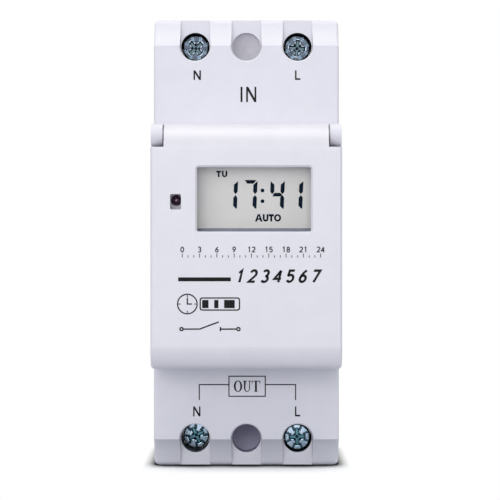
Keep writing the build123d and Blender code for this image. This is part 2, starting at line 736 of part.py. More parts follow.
def clip_slot():
    """The T-shaped slide for the rail clip, open to the rail channel and to the end."""
    front = CLIP_FRONT - SLIDE_GAP
    half = CLIP_HALF_WIDTH + SLIDE_GAP
    wing = half + CLIP_WING
    wing_back = CLIP_FRONT + CLIP_WING_DEPTH + SLIDE_GAP
    end = -HALF_HEIGHT - FIT
    slot = block(-half, half, front, Y_BACK + FIT, end, -HALF_CHANNEL + FIT)
    slot += block(-wing, wing, front, wing_back, end, -HALF_CHANNEL + FIT)
    return slot


def din_clip():
    """The sliding foot that locks the device on the rail."""
    top = -HALF_CHANNEL - FIT / 2
    tail = -HALF_HEIGHT + CLIP_TAIL
    body = block(-CLIP_HALF_WIDTH, CLIP_HALF_WIDTH, CLIP_FRONT, CLIP_BACK, tail, top)
    wing = CLIP_HALF_WIDTH + CLIP_WING
    body += block(
        -wing, wing, CLIP_FRONT, CLIP_FRONT + CLIP_WING_DEPTH, tail + CLIP_TRAVEL, top
    )
    nose_top = top + CLIP_NOSE
    nose = Polyline(
        (FLANGE_SPACE, top - FIT),
        (CLIP_BACK, top - FIT),
        (CLIP_BACK, top + CLIP_NOSE / 3),
        (FLANGE_SPACE + CLIP_NOSE / 3, nose_top),
        (FLANGE_SPACE, nose_top),
        close=True,
    )
    body += side_profile(nose, -CLIP_HALF_WIDTH, CLIP_HALF_WIDTH)
    window_low = STOP_TOP - STOP_LENGTH - RUN_GAP
    window_half = STOP_HALF_WIDTH + 2 * SLIDE_GAP
    body -= block(
        -window_half, window_half, CLIP_FRONT - FIT, CLIP_BACK + FIT,
        window_low, STOP_TOP + SPRING_LENGTH,
    )
    pry_half = CLIP_HALF_WIDTH / 2
    body -= block(
        -pry_half, pry_half, CLIP_BACK - CLIP_WING, CLIP_BACK + FIT,
        tail + WALL, tail + 2 * WALL,
    )
    return body


def spring_point(turn):
    """A point on the clip spring's centre line and the direction of the wire there."""
    end_run = 2 * SPRING_WIRE
    pitch = (SPRING_LENGTH - 2 * end_run) / SPRING_TURNS
    angle = 2 * math.pi * turn
    y_mid = (CLIP_FRONT + CLIP_BACK) / 2
    point = Vector(
        SPRING_RADIUS * math.cos(angle),
        y_mid + SPRING_RADIUS * math.sin(angle),
        STOP_TOP + end_run + pitch * turn,
    )
    rise = pitch / (2 * math.pi * SPRING_RADIUS)
    direction = Vector(-math.sin(angle), math.cos(angle), rise).normalized()
    return point, direction


def biarc(start, start_direction, end, end_direction):
    """Two arcs that join two points and keep the direction at each."""
    chord = end - start
    both = start_direction + end_direction
    spread = 2 * (1 - start_direction.dot(end_direction))
    along = chord.dot(both)
    reach = (-along + math.sqrt(along * along + spread * chord.dot(chord))) / spread
    joint = (start + end + (start_direction - end_direction) * reach) * 0.5
    first = TangentArc(start, joint, tangent=start_direction)
    second = TangentArc(joint, end, tangent=first % 1)
    return [first, second]


def din_clip_spring():
    """The compression spring that pushes the clip up onto the rail."""
    up = Vector(0, 0, 1)
    straight = up * SPRING_WIRE
    start, start_direction = spring_point(0.25)
    end, end_direction = spring_point(SPRING_TURNS - 0.25)
    y_mid = (CLIP_FRONT + CLIP_BACK) / 2
    foot = Vector(SPRING_RADIUS, y_mid, STOP_TOP)
    head = Vector(SPRING_RADIUS, y_mid, STOP_TOP + SPRING_LENGTH)
    edges = [Line(foot, foot + straight)]
    edges += biarc(foot + straight, up, start, start_direction)
    turn = 0.25
    point, direction = start, start_direction
    while turn < SPRING_TURNS - 0.3:
        turn += 0.5
        next_point, next_direction = spring_point(turn)
        edges += biarc(point, direction, next_point, next_direction)
        point, direction = next_point, next_direction
    edges += biarc(end, end_direction, head - straight, up)
    edges.append(Line(head - straight, head))
    path = Wire([edge.edge() for edge in edges])
    section = Plane(origin=foot, z_dir=up) * Circle(SPRING_WIRE / 2)
    print_spring_gap(path)
    return sweep(section, path=path)


def print_spring_gap(path):
    """Measure the least gap of the spring wire to itself on points along it."""
    count = 40 * SPRING_TURNS
    points = [path @ (i / count) for i in range(count + 1)]
    apart = count // SPRING_TURNS * 3 // 4
    least = min(
        (points[i] - points[j]).length
        for i in range(count + 1)
        for j in range(i + apart, count + 1)
    )
    print(f"clip spring: least gap between turns {least - SPRING_WIRE:.2f} mm")


def case_screws():
    """The four screws that join base and front housing."""
    screws = []
    seat = Y_BACK - CASE_COUNTERBORE
    for x, z in case_screw_places():
        screw = rod(x, z, seat - CASE_SCREW_LENGTH, seat, CASE_SCREW_RADIUS)
        screw += rod(x, z, seat, seat + CASE_HEAD_HEIGHT, CASE_HEAD_RADIUS)
        half = RECESS_WIDTH / 2
        top = seat + CASE_HEAD_HEIGHT
        for width, height in ((CASE_SCREW_RADIUS, half), (half, CASE_SCREW_RADIUS)):
            screw -= block(
                x - width, x + width, top - CASE_HEAD_HEIGHT / 2, top + FIT,
                z - height, z + height,
            )
        screws.append(screw)
    return Compound(children=screws)


def cover_outline(inset=0.0):
    """The side view of the flip cover, or of the hollow inside it."""
    top = RAISED_TOP - inset
    bottom = RAISED_BOTTOM
    rear = Y_RAISED - COVER_REAR_GAP
    if inset:
        bottom += COVER_SIDE
        rear += FIT
    front = Y_COVER + inset
    bottom_round = COVER_BOTTOM_ROUND - inset
    slant = math.sqrt(0.5)
    y_bottom = front + bottom_round
    z_bottom = bottom + bottom_round
    roll = COVER_TOP_ROUND - BARREL_RADIUS
    back = COVER_TOP_ROUND - HINGE_SETBACK
    y_roll = Y_COVER + COVER_TOP_ROUND
    z_roll = HINGE_Z - math.sqrt(roll ** 2 - back ** 2)
    lean = math.atan2(HINGE_Z - z_roll, back)

    def on_roll(angle):
        reach = COVER_TOP_ROUND - inset
        return y_roll - reach * math.cos(angle), z_roll + reach * math.sin(angle)

    def on_barrel(angle):
        reach = BARREL_RADIUS - inset
        return HINGE_Y - reach * math.cos(angle), HINGE_Z + reach * math.sin(angle)

    return [
        Polyline(
            (HINGE_Y, top), (HINGE_Y, NOTCH_Z), (rear, NOTCH_Z), (rear, bottom), (y_bottom, bottom)
        ),
        ThreePointArc(
            (y_bottom, bottom),
            (y_bottom - bottom_round * slant, z_bottom - bottom_round * slant),
            (front, z_bottom),
        ),
        Line((front, z_bottom), (front, z_roll)),
        ThreePointArc((front, z_roll), on_roll(lean / 2), on_roll(lean)),
        ThreePointArc(on_roll(lean), on_barrel((lean + math.pi / 2) / 2), (HINGE_Y, top)),
    ]


def cover_shell():
    """The outer form of the flip cover, rounded along its sides and lower corners."""
    shell = side_profile(cover_outline(), -HALF_WIDTH, HALF_WIDTH)
    rounded_edges = [
        e for e in shell.edges()
        if abs(abs(e.center().X) - HALF_WIDTH) < NEAR
        and e.center().Y < HINGE_Y - FIT
    ]
    shell = fillet(rounded_edges, COVER_EDGE)
    height = 2 * (RAISED_TOP - RAISED_BOTTOM)
    plan = rounded(0, RAISED_BOTTOM + height / 2, WIDTH, height, COVER_CORNER)
    return shell & slab(plan, Y_COVER, Y_RAISED)


def flip_cover():
    """The hinged cover: rolled shell, side flanges, barrel, pins and two openings."""
    cover = cover_shell()
    hollow = HALF_WIDTH - COVER_SIDE
    cover -= side_profile(cover_outline(COVER_WALL), -hollow, hollow)
    for side in (-1, 1):
        cover -= block(
            side * BARREL_END, side * (HALF_WIDTH + FIT), Y_COVER - FIT, Y_RAISED,
            NOTCH_Z, RAISED_TOP + FIT,
        )
    cover += rod_x(HINGE_Y, HINGE_Z, -BARREL_END, BARREL_END, BARREL_RADIUS)
    pin_end = BARREL_END + PIN_LENGTH
    cover += rod_x(HINGE_Y, HINGE_Z, -pin_end, pin_end, PIN_RADIUS)
    window = rounded(WINDOW_X, WINDOW_Z, WINDOW_WIDTH, WINDOW_HEIGHT, WINDOW_BEVEL)
    slot = rounded(LED_SLOT_X, LED_SLOT_Z, LED_SLOT_WIDTH, LED_SLOT_HEIGHT, WINDOW_BEVEL)
    for opening in (window, slot):
        cover -= slab(opening, Y_COVER - FIT, Y_COVER + COVER_WALL + FIT)
    mouth = [
        e for e in cover.edges().filter_by(Axis.Y, reverse=True)
        if abs(e.center().Y - Y_COVER) < NEAR
        and abs(e.center().X - WINDOW_X) < WINDOW_WIDTH / 2 + FIT
        and abs(e.center().Z - WINDOW_Z) < WINDOW_HEIGHT / 2 + FIT
    ]
    return chamfer(mouth, WINDOW_BEVEL)


def lcd_window():
    """The clear window over the display, flanged on the inside of the panel."""
    face = slab(lens_outline(), Y_PANEL - LENS_RISE, Y_LENS_BACK)
    flange = slab(lens_outline(LENS_FLANGE), Y_PANEL_INNER, Y_LENS_BACK)
    return face + flange


def glass_plate(y0, y1, side_inset=0.0, end_inset=0.0):
    """A flat layer of the display, centred with the glass."""
    half_width = GLASS_WIDTH / 2 - side_inset
    half_height = GLASS_HEIGHT / 2 - end_inset
    return block(
        WINDOW_X - half_width, WINDOW_X + half_width, y0, y1,
        GLASS_Z - half_height, GLASS_Z + half_height,
    )


def lcd_polariser():
    """The front film of the display, which ends a little above the lower edge of the window."""
    low = WINDOW_Z - WINDOW_HEIGHT / 2 + POLARISER_STEP
    high = GLASS_Z + GLASS_HEIGHT / 2 - POLARISER_INSET
    half = GLASS_WIDTH / 2 - POLARISER_INSET
    return block(WINDOW_X - half, WINDOW_X + half, Y_POLARISER, Y_FRONT_GLASS, low, high)


def zebra_places():
    """The two contact strips, one along each long edge of the glass."""
    offset = GLASS_HEIGHT / 2 - CONTACT_LEDGE / 2
    for sign in (-1, 1):
        yield GLASS_Z + sign * offset


def zebra_strip(z, grow=0.0):
    """One rubber contact strip between glass and board."""
    half = GLASS_WIDTH / 2 - POLARISER_INSET + grow
    thick = ZEBRA_THICKNESS / 2 + grow
    return block(
        WINDOW_X - half, WINDOW_X + half, Y_REAR_GLASS, Y_BOARD, z - thick, z + thick
    )


def zebra_strips():
    """Both contact strips."""
    return Compound(children=[zebra_strip(z) for z in zebra_places()])


def lcd_holder():
    """The frame that holds the glass against the board."""
    margin = FIT + HOLDER_WALL
    holder = glass_plate(Y_FRONT_GLASS, Y_BOARD, -margin, -margin)
    holder -= glass_plate(Y_FRONT_GLASS - FIT, Y_HOLDER_FLOOR, -FIT, -FIT)
    for z in zebra_places():
        holder -= zebra_strip(z, FIT / 2)
    return holder


def led():
    """The indicator lamp: domed body, flange and two leads down to the board."""
    dome_centre = Y_LED_TIP + LED_RADIUS
    lamp = rod(LED_X, LED_Z, dome_centre, Y_LED_BASE, LED_RADIUS)
    lamp += Pos(LED_X, dome_centre, LED_Z) * Sphere(LED_RADIUS)
    lamp += rod(LED_X, LED_Z, Y_LED_BASE - LED_LEAD, Y_LED_BASE, LED_RADIUS + LED_FLANGE)
    for side in (-1, 1):
        x = LED_X + side * LED_LEAD
        lamp += block(
            x - LED_LEAD / 2, x + LED_LEAD / 2, Y_LED_BASE - FIT, Y_BOARD,
            LED_Z - LED_LEAD / 2, LED_Z + LED_LEAD / 2,
        )
    return lamp


def key(name):
    """One push key with its retaining flange behind the panel."""
    top = Y_PANEL - KEY_RISE
    if name == "key_reset":
        top = Y_PANEL + RESET_RECESS
    cap = slab(key_outline(name), top, Y_KEY_BACK)
    cap = fillet(cap.edges().group_by(Axis.Y)[0], KEY_CROWN)
    return cap + slab(key_outline(name, KEY_FLANGE), Y_PANEL_INNER, Y_KEY_BACK)


def keypad_sheet():
    """The rubber mat on the board, with a dome under each key."""
    half_width = 1.5 * KEY_PITCH + KEY_WIDTH / 2 + KEY_FLANGE
    half_height = KEY_ROW_PITCH / 2 + KEY_HEIGHT / 2 + KEY_FLANGE
    centre = (KEY_ROW_TOP + KEY_ROW_BOTTOM) / 2
    mat = slab(
        rounded(0, centre, 2 * half_width, 2 * half_height, KEY_ROUND), Y_MAT, Y_BOARD
    )
    for column, row in KEYS.values():
        mat += rod(column * KEY_PITCH, row, Y_DOME, Y_MAT + FIT, DOME_RADIUS)
    return mat


def control_board():
    """The circuit board behind the panel."""
    half = PANEL_INNER_HALF_WIDTH - BOARD_GAP
    board = block(
        -half, half, Y_BOARD, Y_BOARD_BACK,
        PANEL_INNER_BOTTOM + BOARD_GAP, PANEL_INNER_TOP - BOARD_GAP,
    )
    for x, z in CONTROL_POSTS:
        board -= rod(x, z, Y_BOARD - FIT, Y_BOARD_BACK + FIT, BOARD_SCREW_RADIUS + FIT)
    return board


def board_screws():
    """The three screws that hold the control board to its posts."""
    screws = []
    for x, z in CONTROL_POSTS:
        screw = rod(x, z, Y_PANEL_INNER + 2 * FIT, Y_BOARD_BACK, BOARD_SCREW_RADIUS)
        screw += rod(x, z, Y_BOARD_BACK, Y_BOARD_BACK + BOARD_HEAD_HEIGHT, BOARD_HEAD_RADIUS)
        screws.append(screw)
    return Compound(children=screws)


def controller_blob():
    """The potted controller chip on the back of the control board."""
    blob = rod(0, BLOB_Z, Y_BOARD_BACK, Y_BOARD_BACK + BLOB_HEIGHT, BLOB_RADIUS)
    return fillet(blob.edges().group_by(Axis.Y)[-1], BLOB_HEIGHT * 0.8)


def quartz_crystal():
    """The clock crystal, a small can lying on the control board."""
    z = BLOB_Z + BLOB_RADIUS + 2 * CRYSTAL_RADIUS
    y = Y_BOARD_BACK + CRYSTAL_RADIUS
    can = rod_x(y, z, 0, CRYSTAL_LENGTH, CRYSTAL_RADIUS)
    foot = block(
        CRYSTAL_LENGTH, CRYSTAL_LENGTH + LEAD_REACH, Y_BOARD_BACK, y,
        z - CRYSTAL_RADIUS / 2, z + CRYSTAL_RADIUS / 2,
    )
    return can + foot


def backup_battery():
    """The cell that keeps the clock running, with its crimped rim."""
    z = PANEL_INNER_TOP - BATTERY_RADIUS - 2 * BOARD_POST_RADIUS
    middle = Y_BOARD_BACK + BATTERY_THICKNESS / 2
    can = rod(BATTERY_X, z, Y_BOARD_BACK, middle, BATTERY_RADIUS - BATTERY_THICKNESS / 10)
    cap = rod(
        BATTERY_X, z, middle, Y_BOARD_BACK + BATTERY_THICKNESS, BATTERY_RADIUS
    )
    return can + cap


def ribbon_cable():
    """The flat cable between control board and power board, with a plug at each end."""
    span = Y_POWER - Y_BOARD_BACK
    third = span / 3
    route = FilletPolyline(
        (Y_BOARD_BACK + RIBBON_PLUG, RIBBON_HEAD_Z),
        (Y_BOARD_BACK + third, RIBBON_HEAD_Z),
        (Y_POWER - third, RIBBON_FOOT_Z),
        (Y_POWER - RIBBON_PLUG, RIBBON_FOOT_Z),
        radius=RIBBON_BEND,
    )
    left = RIBBON_X - RIBBON_WIDTH / 2
    band = Plane.YZ.offset(left) * trace(route, RIBBON_THICKNESS)
    cable = extrude(band, amount=RIBBON_WIDTH)
    for y, direction, z in (
        (Y_BOARD_BACK, 1, RIBBON_HEAD_Z), (Y_POWER, -1, RIBBON_FOOT_Z)
    ):
        cable += block(
            left - SIDE_GAP, left + RIBBON_WIDTH + SIDE_GAP,
            y, y + direction * (RIBBON_PLUG + FIT),
            z - RIBBON_PLUG / 2, z + RIBBON_PLUG / 2,
        )
    return cable


def power_board():
    """The circuit board that carries the relay and the supply."""
    board = block(
        -POWER_HALF_WIDTH, POWER_HALF_WIDTH, Y_POWER, Y_POWER_BACK,
        -POWER_HALF_HEIGHT, POWER_HALF_HEIGHT,
    )
    for x, z in power_posts():
        board -= rod(x, z, Y_POWER - FIT, Y_POWER_BACK + FIT, POWER_PIN_RADIUS + RUN_GAP)
    return board


def mains_capacitor():
    """The boxed capacitor that drops the mains voltage."""
    low = RELAY_Z0
    body = block(
        -TERMINAL_PITCH - MAINS_CAP_WIDTH / 2, -TERMINAL_PITCH + MAINS_CAP_WIDTH / 2,
        Y_POWER - MAINS_CAP_HEIGHT, Y_POWER, low, low + MAINS_CAP_LENGTH,
    )
    return fillet(body.edges().filter_by(Axis.Y), COMPONENT_GAP)


def smoothing_capacitor():
    """The round electrolytic capacitor, with the bead near its foot."""
    z = RELAY_Z0 + MAINS_CAP_LENGTH + COMPONENT_GAP + SMOOTH_CAP_RADIUS
    top = Y_POWER - SMOOTH_CAP_HEIGHT
    can = rod(-TERMINAL_PITCH, z, top, Y_POWER, SMOOTH_CAP_RADIUS)
    can = fillet(can.edges().group_by(Axis.Y)[0], COMPONENT_GAP)
    bead = Pos(-TERMINAL_PITCH, Y_POWER - SMOOTH_CAP_RADIUS / 2, z) * Rot(X=90) * Torus(
        SMOOTH_CAP_RADIUS + COMPONENT_GAP / 4, COMPONENT_GAP
    )
    return can - bead


def surge_varistor():
    """The disc that absorbs surges, on two leads."""
    z = RELAY_Z0 + MAINS_CAP_LENGTH + 2 * SMOOTH_CAP_RADIUS + VARISTOR_RADIUS + 3 * COMPONENT_GAP
    y = Y_POWER - VARISTOR_RADIUS - LEAD_REACH
    half = VARISTOR_THICKNESS / 2
    disc = rod_x(y, z, -TERMINAL_PITCH - half, -TERMINAL_PITCH + half, VARISTOR_RADIUS)
    disc = fillet(disc.edges().filter_by(GeomType.CIRCLE), COMPONENT_GAP)
    for side in (-1, 1):
        disc += rod(-TERMINAL_PITCH, z + side * VARISTOR_RADIUS / 2, y, Y_POWER, LEAD_RADIUS)
    return disc


def axial_part(x, z, length, radius):
    """A round component lying in front of the board on two bent leads."""
    y = Y_POWER - radius - LEAD_RADIUS
    reach = length / 2 + LEAD_REACH
    part = rod_z(x, y, z - length / 2, z + length / 2, radius)
    part += rod_z(x, y, z - reach, z + reach, LEAD_RADIUS)
    for side in (-1, 1):
        foot_z = z + side * (reach - LEAD_RADIUS)
        part += rod(x, foot_z, y - LEAD_RADIUS, Y_POWER, LEAD_RADIUS)
    return part


def rectifier_diodes():
    """The four rectifier diodes in a row beside the relay."""
    z = Z_RELAY_END + LEAD_REACH + DIODE_LENGTH / 2 + 2 * COMPONENT_GAP
    parts = []
    for index in range(4):
        x = RELAY_X + (index - 1.5) * DIODE_PITCH
        parts.append(axial_part(x, z, DIODE_LENGTH, DIODE_RADIUS))
    return Compound(children=parts)


def dropper_resistors():
    """The two resistors beside the ribbon cable's lower plug."""
    plug_side = RIBBON_X - RIBBON_WIDTH / 2 - SIDE_GAP
    z = BAR_LANDING_Z - BAR_THICKNESS / 2 - COMPONENT_GAP - LEAD_REACH - RESISTOR_LENGTH / 2
    parts = []
    for index in range(2):
        x = plug_side - INNER_GAP - RESISTOR_RADIUS - index * RESISTOR_PITCH
        parts.append(axial_part(x, z, RESISTOR_LENGTH, RESISTOR_RADIUS))
    return Compound(children=parts)


def relay_base():
    """The foot of the relay."""
    half = RELAY_WIDTH / 2
    return block(
        RELAY_X - half, RELAY_X + half, Y_RELAY_BASE, Y_POWER, RELAY_Z0, Z_RELAY_END
    )


def relay_cover():
    """The dust cover of the relay."""
    half = RELAY_WIDTH / 2
    cover = block(
        RELAY_X - half, RELAY_X + half, Y_RELAY_TOP, Y_RELAY_BASE, RELAY_Z0, Z_RELAY_END
    )
    cover = fillet(cover.edges().filter_by(Axis.Y), RELAY_WALL)
    inner = half - RELAY_WALL
    return cover - block(
        RELAY_X - inner, RELAY_X + inner, Y_RELAY_TOP + RELAY_WALL, Y_RELAY_BASE + FIT,
        RELAY_Z0 + RELAY_WALL, Z_RELAY_END - RELAY_WALL,
    )


def relay_bobbin():
    """The spool of the relay coil."""
    spool = rod_z(RELAY_X, Y_COIL, Z_BOBBIN, Z_BOBBIN_END, CORE_RADIUS + BOBBIN_WALL)
    for low in (Z_BOBBIN, Z_BOBBIN_END - BOBBIN_FLANGE):
        spool += rod_z(RELAY_X, Y_COIL, low, low + BOBBIN_FLANGE, FLANGE_RADIUS)
    return spool - rod_z(
        RELAY_X, Y_COIL, Z_BOBBIN - FIT, Z_BOBBIN_END + FIT, CORE_RADIUS + RUN_GAP
    )


def relay_winding():
    """The copper winding between the flanges of the spool."""
    wound = rod_z(RELAY_X, Y_COIL, Z_WINDING, Z_WINDING + COIL_LENGTH, COIL_RADIUS)
    return wound - rod_z(
        RELAY_X, Y_COIL, Z_WINDING - FIT, Z_WINDING + COIL_LENGTH + FIT,
        CORE_RADIUS + BOBBIN_WALL,
    )


def relay_core():
    """The iron core, with the pole disc at its free end."""
    core = rod_z(RELAY_X, Y_COIL, Z_YOKE, Z_POLE_FACE, CORE_RADIUS)
    return core + rod_z(RELAY_X, Y_COIL, Z_POLE, Z_POLE_FACE, POLE_RADIUS)


def relay_yoke():
    """The bent iron frame that carries the core and the pivot of the armature."""
    half = IRON_WIDTH / 2
    foot = block(
        RELAY_X - half, RELAY_X + half, Y_YOKE, Y_RELAY_BASE, Z_YOKE, Z_BOBBIN
    )
    limb = block(
        RELAY_X - half, RELAY_X + half, Y_YOKE, Y_YOKE_INNER, Z_YOKE, Z_ARMATURE - SLIDE_GAP
    )
    hole = rod_z(RELAY_X, Y_COIL, Z_YOKE - FIT, Z_BOBBIN + FIT, CORE_RADIUS + RUN_GAP)
    return foot + limb - hole


def relay_armature():
    """The iron flap that the pole pulls in."""
    half = IRON_WIDTH / 2 - FIT
    return block(
        RELAY_X - half, RELAY_X + half, Y_YOKE, Y_YOKE + ARMATURE_LENGTH, Z_ARMATURE, Z_ARM
    )


def relay_contact_arm():
    """The leaf on the armature, with the moving contact at its tip."""
    half = ARM_WIDTH / 2
    y_rivet = Y_YOKE + ARMATURE_LENGTH + RIVET_RADIUS + FIT
    arm = block(
        RELAY_X - half, RELAY_X + half, Y_YOKE + ARMATURE_LENGTH / 3, y_rivet + RIVET_RADIUS,
        Z_ARM, Z_ARM + ARM_THICKNESS,
    )
    return arm + rod_z(RELAY_X, y_rivet, Z_ARMATURE + SLIDE_GAP, Z_ARM + FIT, RIVET_RADIUS)


def relay_fixed_contact():
    """The fixed contact on its post."""
    half = ARM_WIDTH / 2
    y_rivet = Y_YOKE + ARMATURE_LENGTH + RIVET_RADIUS + FIT
    face = Z_ARMATURE + SLIDE_GAP - ARMATURE_GAP - FIT
    return block(
        RELAY_X - half, RELAY_X + half, y_rivet - RIVET_RADIUS, Y_RELAY_BASE,
        face - ARMATURE_THICKNESS * 0.7, face,
    )


def terminal_cage(name):
    """The clamp body of a terminal, open along Z for the wire."""
    side, sign, _ = TERMINALS[name]
    x = side * TERMINAL_PITCH
    cage = block(
        x - CAGE_WIDTH / 2, x + CAGE_WIDTH / 2, Y_CAGE_TOP, Y_CAGE_BOTTOM,
        sign * CAGE_NEAR, sign * CAGE_FAR,
    )
    cage = fillet(cage.edges().filter_by(Axis.Z), SIDE_GAP)
    cage -= block(
        x - TUNNEL_WIDTH / 2, x + TUNNEL_WIDTH / 2, Y_TUNNEL_TOP, Y_TUNNEL_FLOOR,
        sign * (CAGE_NEAR - FIT), sign * (CAGE_FAR + FIT),
    )
    thread = SCREW_RADIUS + RUN_GAP
    return cage - rod(x, sign * TERMINAL_Z, Y_CAGE_TOP - FIT, Y_TUNNEL_TOP + FIT, thread)


def terminal_plate(name):
    """The plate that the screw presses on the wire, ribbed underneath."""
    side, sign, turned_in = TERMINALS[name]
    x = side * TERMINAL_PITCH
    z = sign * TERMINAL_Z
    top = Y_TUNNEL_TOP + turned_in
    half = TUNNEL_WIDTH / 2 - SLIDE_GAP
    plate = block(
        x - half, x + half, top, top + PLATE_THICKNESS, z - PLATE_LENGTH / 2, z + PLATE_LENGTH / 2
    )
    groove = PLATE_THICKNESS / 4
    for step in (-1, 0, 1):
        middle = z + step * PLATE_LENGTH / 4
        plate -= block(
            x - half - FIT, x + half + FIT, top + PLATE_THICKNESS - groove,
            top + PLATE_THICKNESS + FIT, middle - groove, middle + groove,
        )
    return plate


def terminal_screw(name):
    """A clamp screw with a cross recess."""
    side, sign, turned_in = TERMINALS[name]
    tip = Y_TUNNEL_TOP + turned_in
    under = tip - SCREW_SHANK
    top = under - HEAD_HEIGHT
    head = rod(0, 0, top, under, HEAD_RADIUS)
    head = chamfer(head.edges().group_by(Axis.Y)[0], HEAD_CHAMFER)
    screw = head + rod(0, 0, under - FIT, tip, SCREW_RADIUS)
    half = RECESS_WIDTH / 2
    for width, height in ((RECESS_REACH, half), (half, RECESS_REACH)):
        screw -= block(-width, width, top - FIT, top + RECESS_DEPTH, -height, height)
    turn = Rot(Y=RECESS_ANGLES[name])
    return Pos(side * TERMINAL_PITCH, 0, sign * TERMINAL_Z) * turn * screw


def bar_end(sign, x):
    """The tab of a conductor that lies on the floor of a terminal."""
    return block(
        x - BAR_TAB / 2, x + BAR_TAB / 2, Y_BAR, Y_TUNNEL_FLOOR,
        sign * (CAGE_NEAR - BAR_THICKNESS), sign * (CAGE_FAR - FIT),
    )


def bar_leg(x, z):
    """The leg of a conductor down to the power board."""
    return block(
        x - BAR_WIDTH / 2, x + BAR_WIDTH / 2, Y_BAR, Y_POWER,
        z - BAR_THICKNESS / 2, z + BAR_THICKNESS / 2,
    )


def line_bar(sign):
    """A line conductor from a terminal to the power board."""
    x = TERMINAL_PITCH
    run = block(
        x - BAR_WIDTH / 2, x + BAR_WIDTH / 2, Y_BAR, Y_TUNNEL_FLOOR,
        sign * (BAR_LANDING_Z - BAR_THICKNESS / 2), sign * CAGE_NEAR,
    )
    return bar_end(sign, x) + run + bar_leg(x, sign * BAR_LANDING_Z)


def neutral_bar():
    """The neutral conductor, straight through from end to end, with a leg to the board."""
    x = -TERMINAL_PITCH
    run = block(
        x - BAR_WIDTH / 2, x + BAR_WIDTH / 2, Y_BAR, Y_TUNNEL_FLOOR, -CAGE_NEAR, CAGE_NEAR
    )
    return bar_end(-1, x) + run + bar_end(1, x) + bar_leg(x, BAR_LANDING_Z)


def pieces():
    """Every piece of the device under the name of its node."""
    made = {
        "base_housing": base_housing(),
        "front_housing": front_housing(),
        "case_screws": case_screws(),
        "din_clip": din_clip(),
        "din_clip_spring": din_clip_spring(),
        "flip_cover": flip_cover(),
        "lcd_window": lcd_window(),
        "lcd_polariser": lcd_polariser(),
        "lcd_front_glass": glass_plate(Y_FRONT_GLASS, Y_REAR_GLASS),
        "lcd_rear_glass": glass_plate(Y_REAR_GLASS, Y_REFLECTOR, 0.0, CONTACT_LEDGE),
        "lcd_reflector": glass_plate(Y_REFLECTOR, Y_HOLDER_FLOOR, 0.0, CONTACT_LEDGE),
        "lcd_holder": lcd_holder(),
        "zebra_strips": zebra_strips(),
        "led": led(),
        "keypad_sheet": keypad_sheet(),
        "control_board": control_board(),
        "board_screws": board_screws(),
        "controller_blob": controller_blob(),
        "quartz_crystal": quartz_crystal(),
        "backup_battery": backup_battery(),
        "ribbon_cable": ribbon_cable(),
        "power_board": power_board(),
        "mains_capacitor": mains_capacitor(),
        "smoothing_capacitor": smoothing_capacitor(),
        "surge_varistor": surge_varistor(),
        "rectifier_diodes": rectifier_diodes(),
        "dropper_resistors": dropper_resistors(),
        "relay_base": relay_base(),
        "relay_cover": relay_cover(),
        "relay_bobbin": relay_bobbin(),
        "relay_winding": relay_winding(),
        "relay_core": relay_core(),
        "relay_yoke": relay_yoke(),
        "relay_armature": relay_armature(),
        "relay_contact_arm": relay_contact_arm(),
        "relay_fixed_contact": relay_fixed_contact(),
        "line_in_bar": line_bar(1),
        "line_out_bar": line_bar(-1),
        "neutral_bar": neutral_bar(),
    }
    for name in KEYS:
        made[name] = key(name)
    for name in TERMINALS:
        made[f"{name}_cage"] = terminal_cage(name)
        made[f"{name}_plate"] = terminal_plate(name)
        made[f"{name}_screw"] = terminal_screw(name)
    return made


os.makedirs("parts", exist_ok=True)
for node, shape in pieces().items():
    export_step(shape, f"parts/{node}.step")
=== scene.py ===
"""The looks of a two-module timer switch for a 35 mm rail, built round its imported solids."""

import json
import math

import bmesh
import bpy
from mathutils import Matrix, Vector


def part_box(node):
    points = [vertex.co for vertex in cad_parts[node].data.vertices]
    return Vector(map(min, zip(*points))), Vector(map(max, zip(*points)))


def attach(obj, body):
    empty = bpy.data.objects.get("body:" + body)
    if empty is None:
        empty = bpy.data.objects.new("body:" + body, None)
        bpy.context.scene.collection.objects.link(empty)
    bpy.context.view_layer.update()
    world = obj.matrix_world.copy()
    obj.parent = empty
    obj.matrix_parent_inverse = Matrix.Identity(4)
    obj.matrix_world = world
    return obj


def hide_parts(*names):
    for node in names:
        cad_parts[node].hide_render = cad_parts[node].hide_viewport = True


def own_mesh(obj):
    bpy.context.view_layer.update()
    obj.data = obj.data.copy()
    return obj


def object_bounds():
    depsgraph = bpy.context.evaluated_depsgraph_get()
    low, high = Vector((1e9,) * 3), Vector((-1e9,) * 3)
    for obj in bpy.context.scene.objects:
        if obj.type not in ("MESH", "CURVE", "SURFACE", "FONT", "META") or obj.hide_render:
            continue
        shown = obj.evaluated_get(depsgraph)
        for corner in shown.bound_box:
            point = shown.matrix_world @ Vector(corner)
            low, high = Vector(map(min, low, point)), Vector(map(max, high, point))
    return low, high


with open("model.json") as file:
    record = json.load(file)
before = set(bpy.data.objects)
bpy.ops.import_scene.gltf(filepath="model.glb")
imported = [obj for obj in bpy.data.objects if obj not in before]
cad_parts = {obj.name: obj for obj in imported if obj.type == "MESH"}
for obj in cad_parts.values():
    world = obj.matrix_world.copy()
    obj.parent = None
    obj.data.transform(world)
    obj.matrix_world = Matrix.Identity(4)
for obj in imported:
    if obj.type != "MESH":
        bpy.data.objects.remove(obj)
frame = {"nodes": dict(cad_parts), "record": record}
cad_low, cad_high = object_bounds()

# Sizes are in millimetres and turned into metres where a mesh or an object takes them.
MM = 0.001

# Planes that carry printing, and how far the ink stands out
SHOULDER_Y = -44.0
COVER_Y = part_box("flip_cover")[0].y / MM
POLARISER_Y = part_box("lcd_polariser")[0].y / MM
INK_THICKNESS = 0.02

# Camera: straight on, a little below the middle of the housing
CAMERA_X = 0.7
CAMERA_Z = -1.47
CAMERA_TO_SHOULDERS = 494.0
LENS_MM = 182.8
SENSOR_MM = 36.0

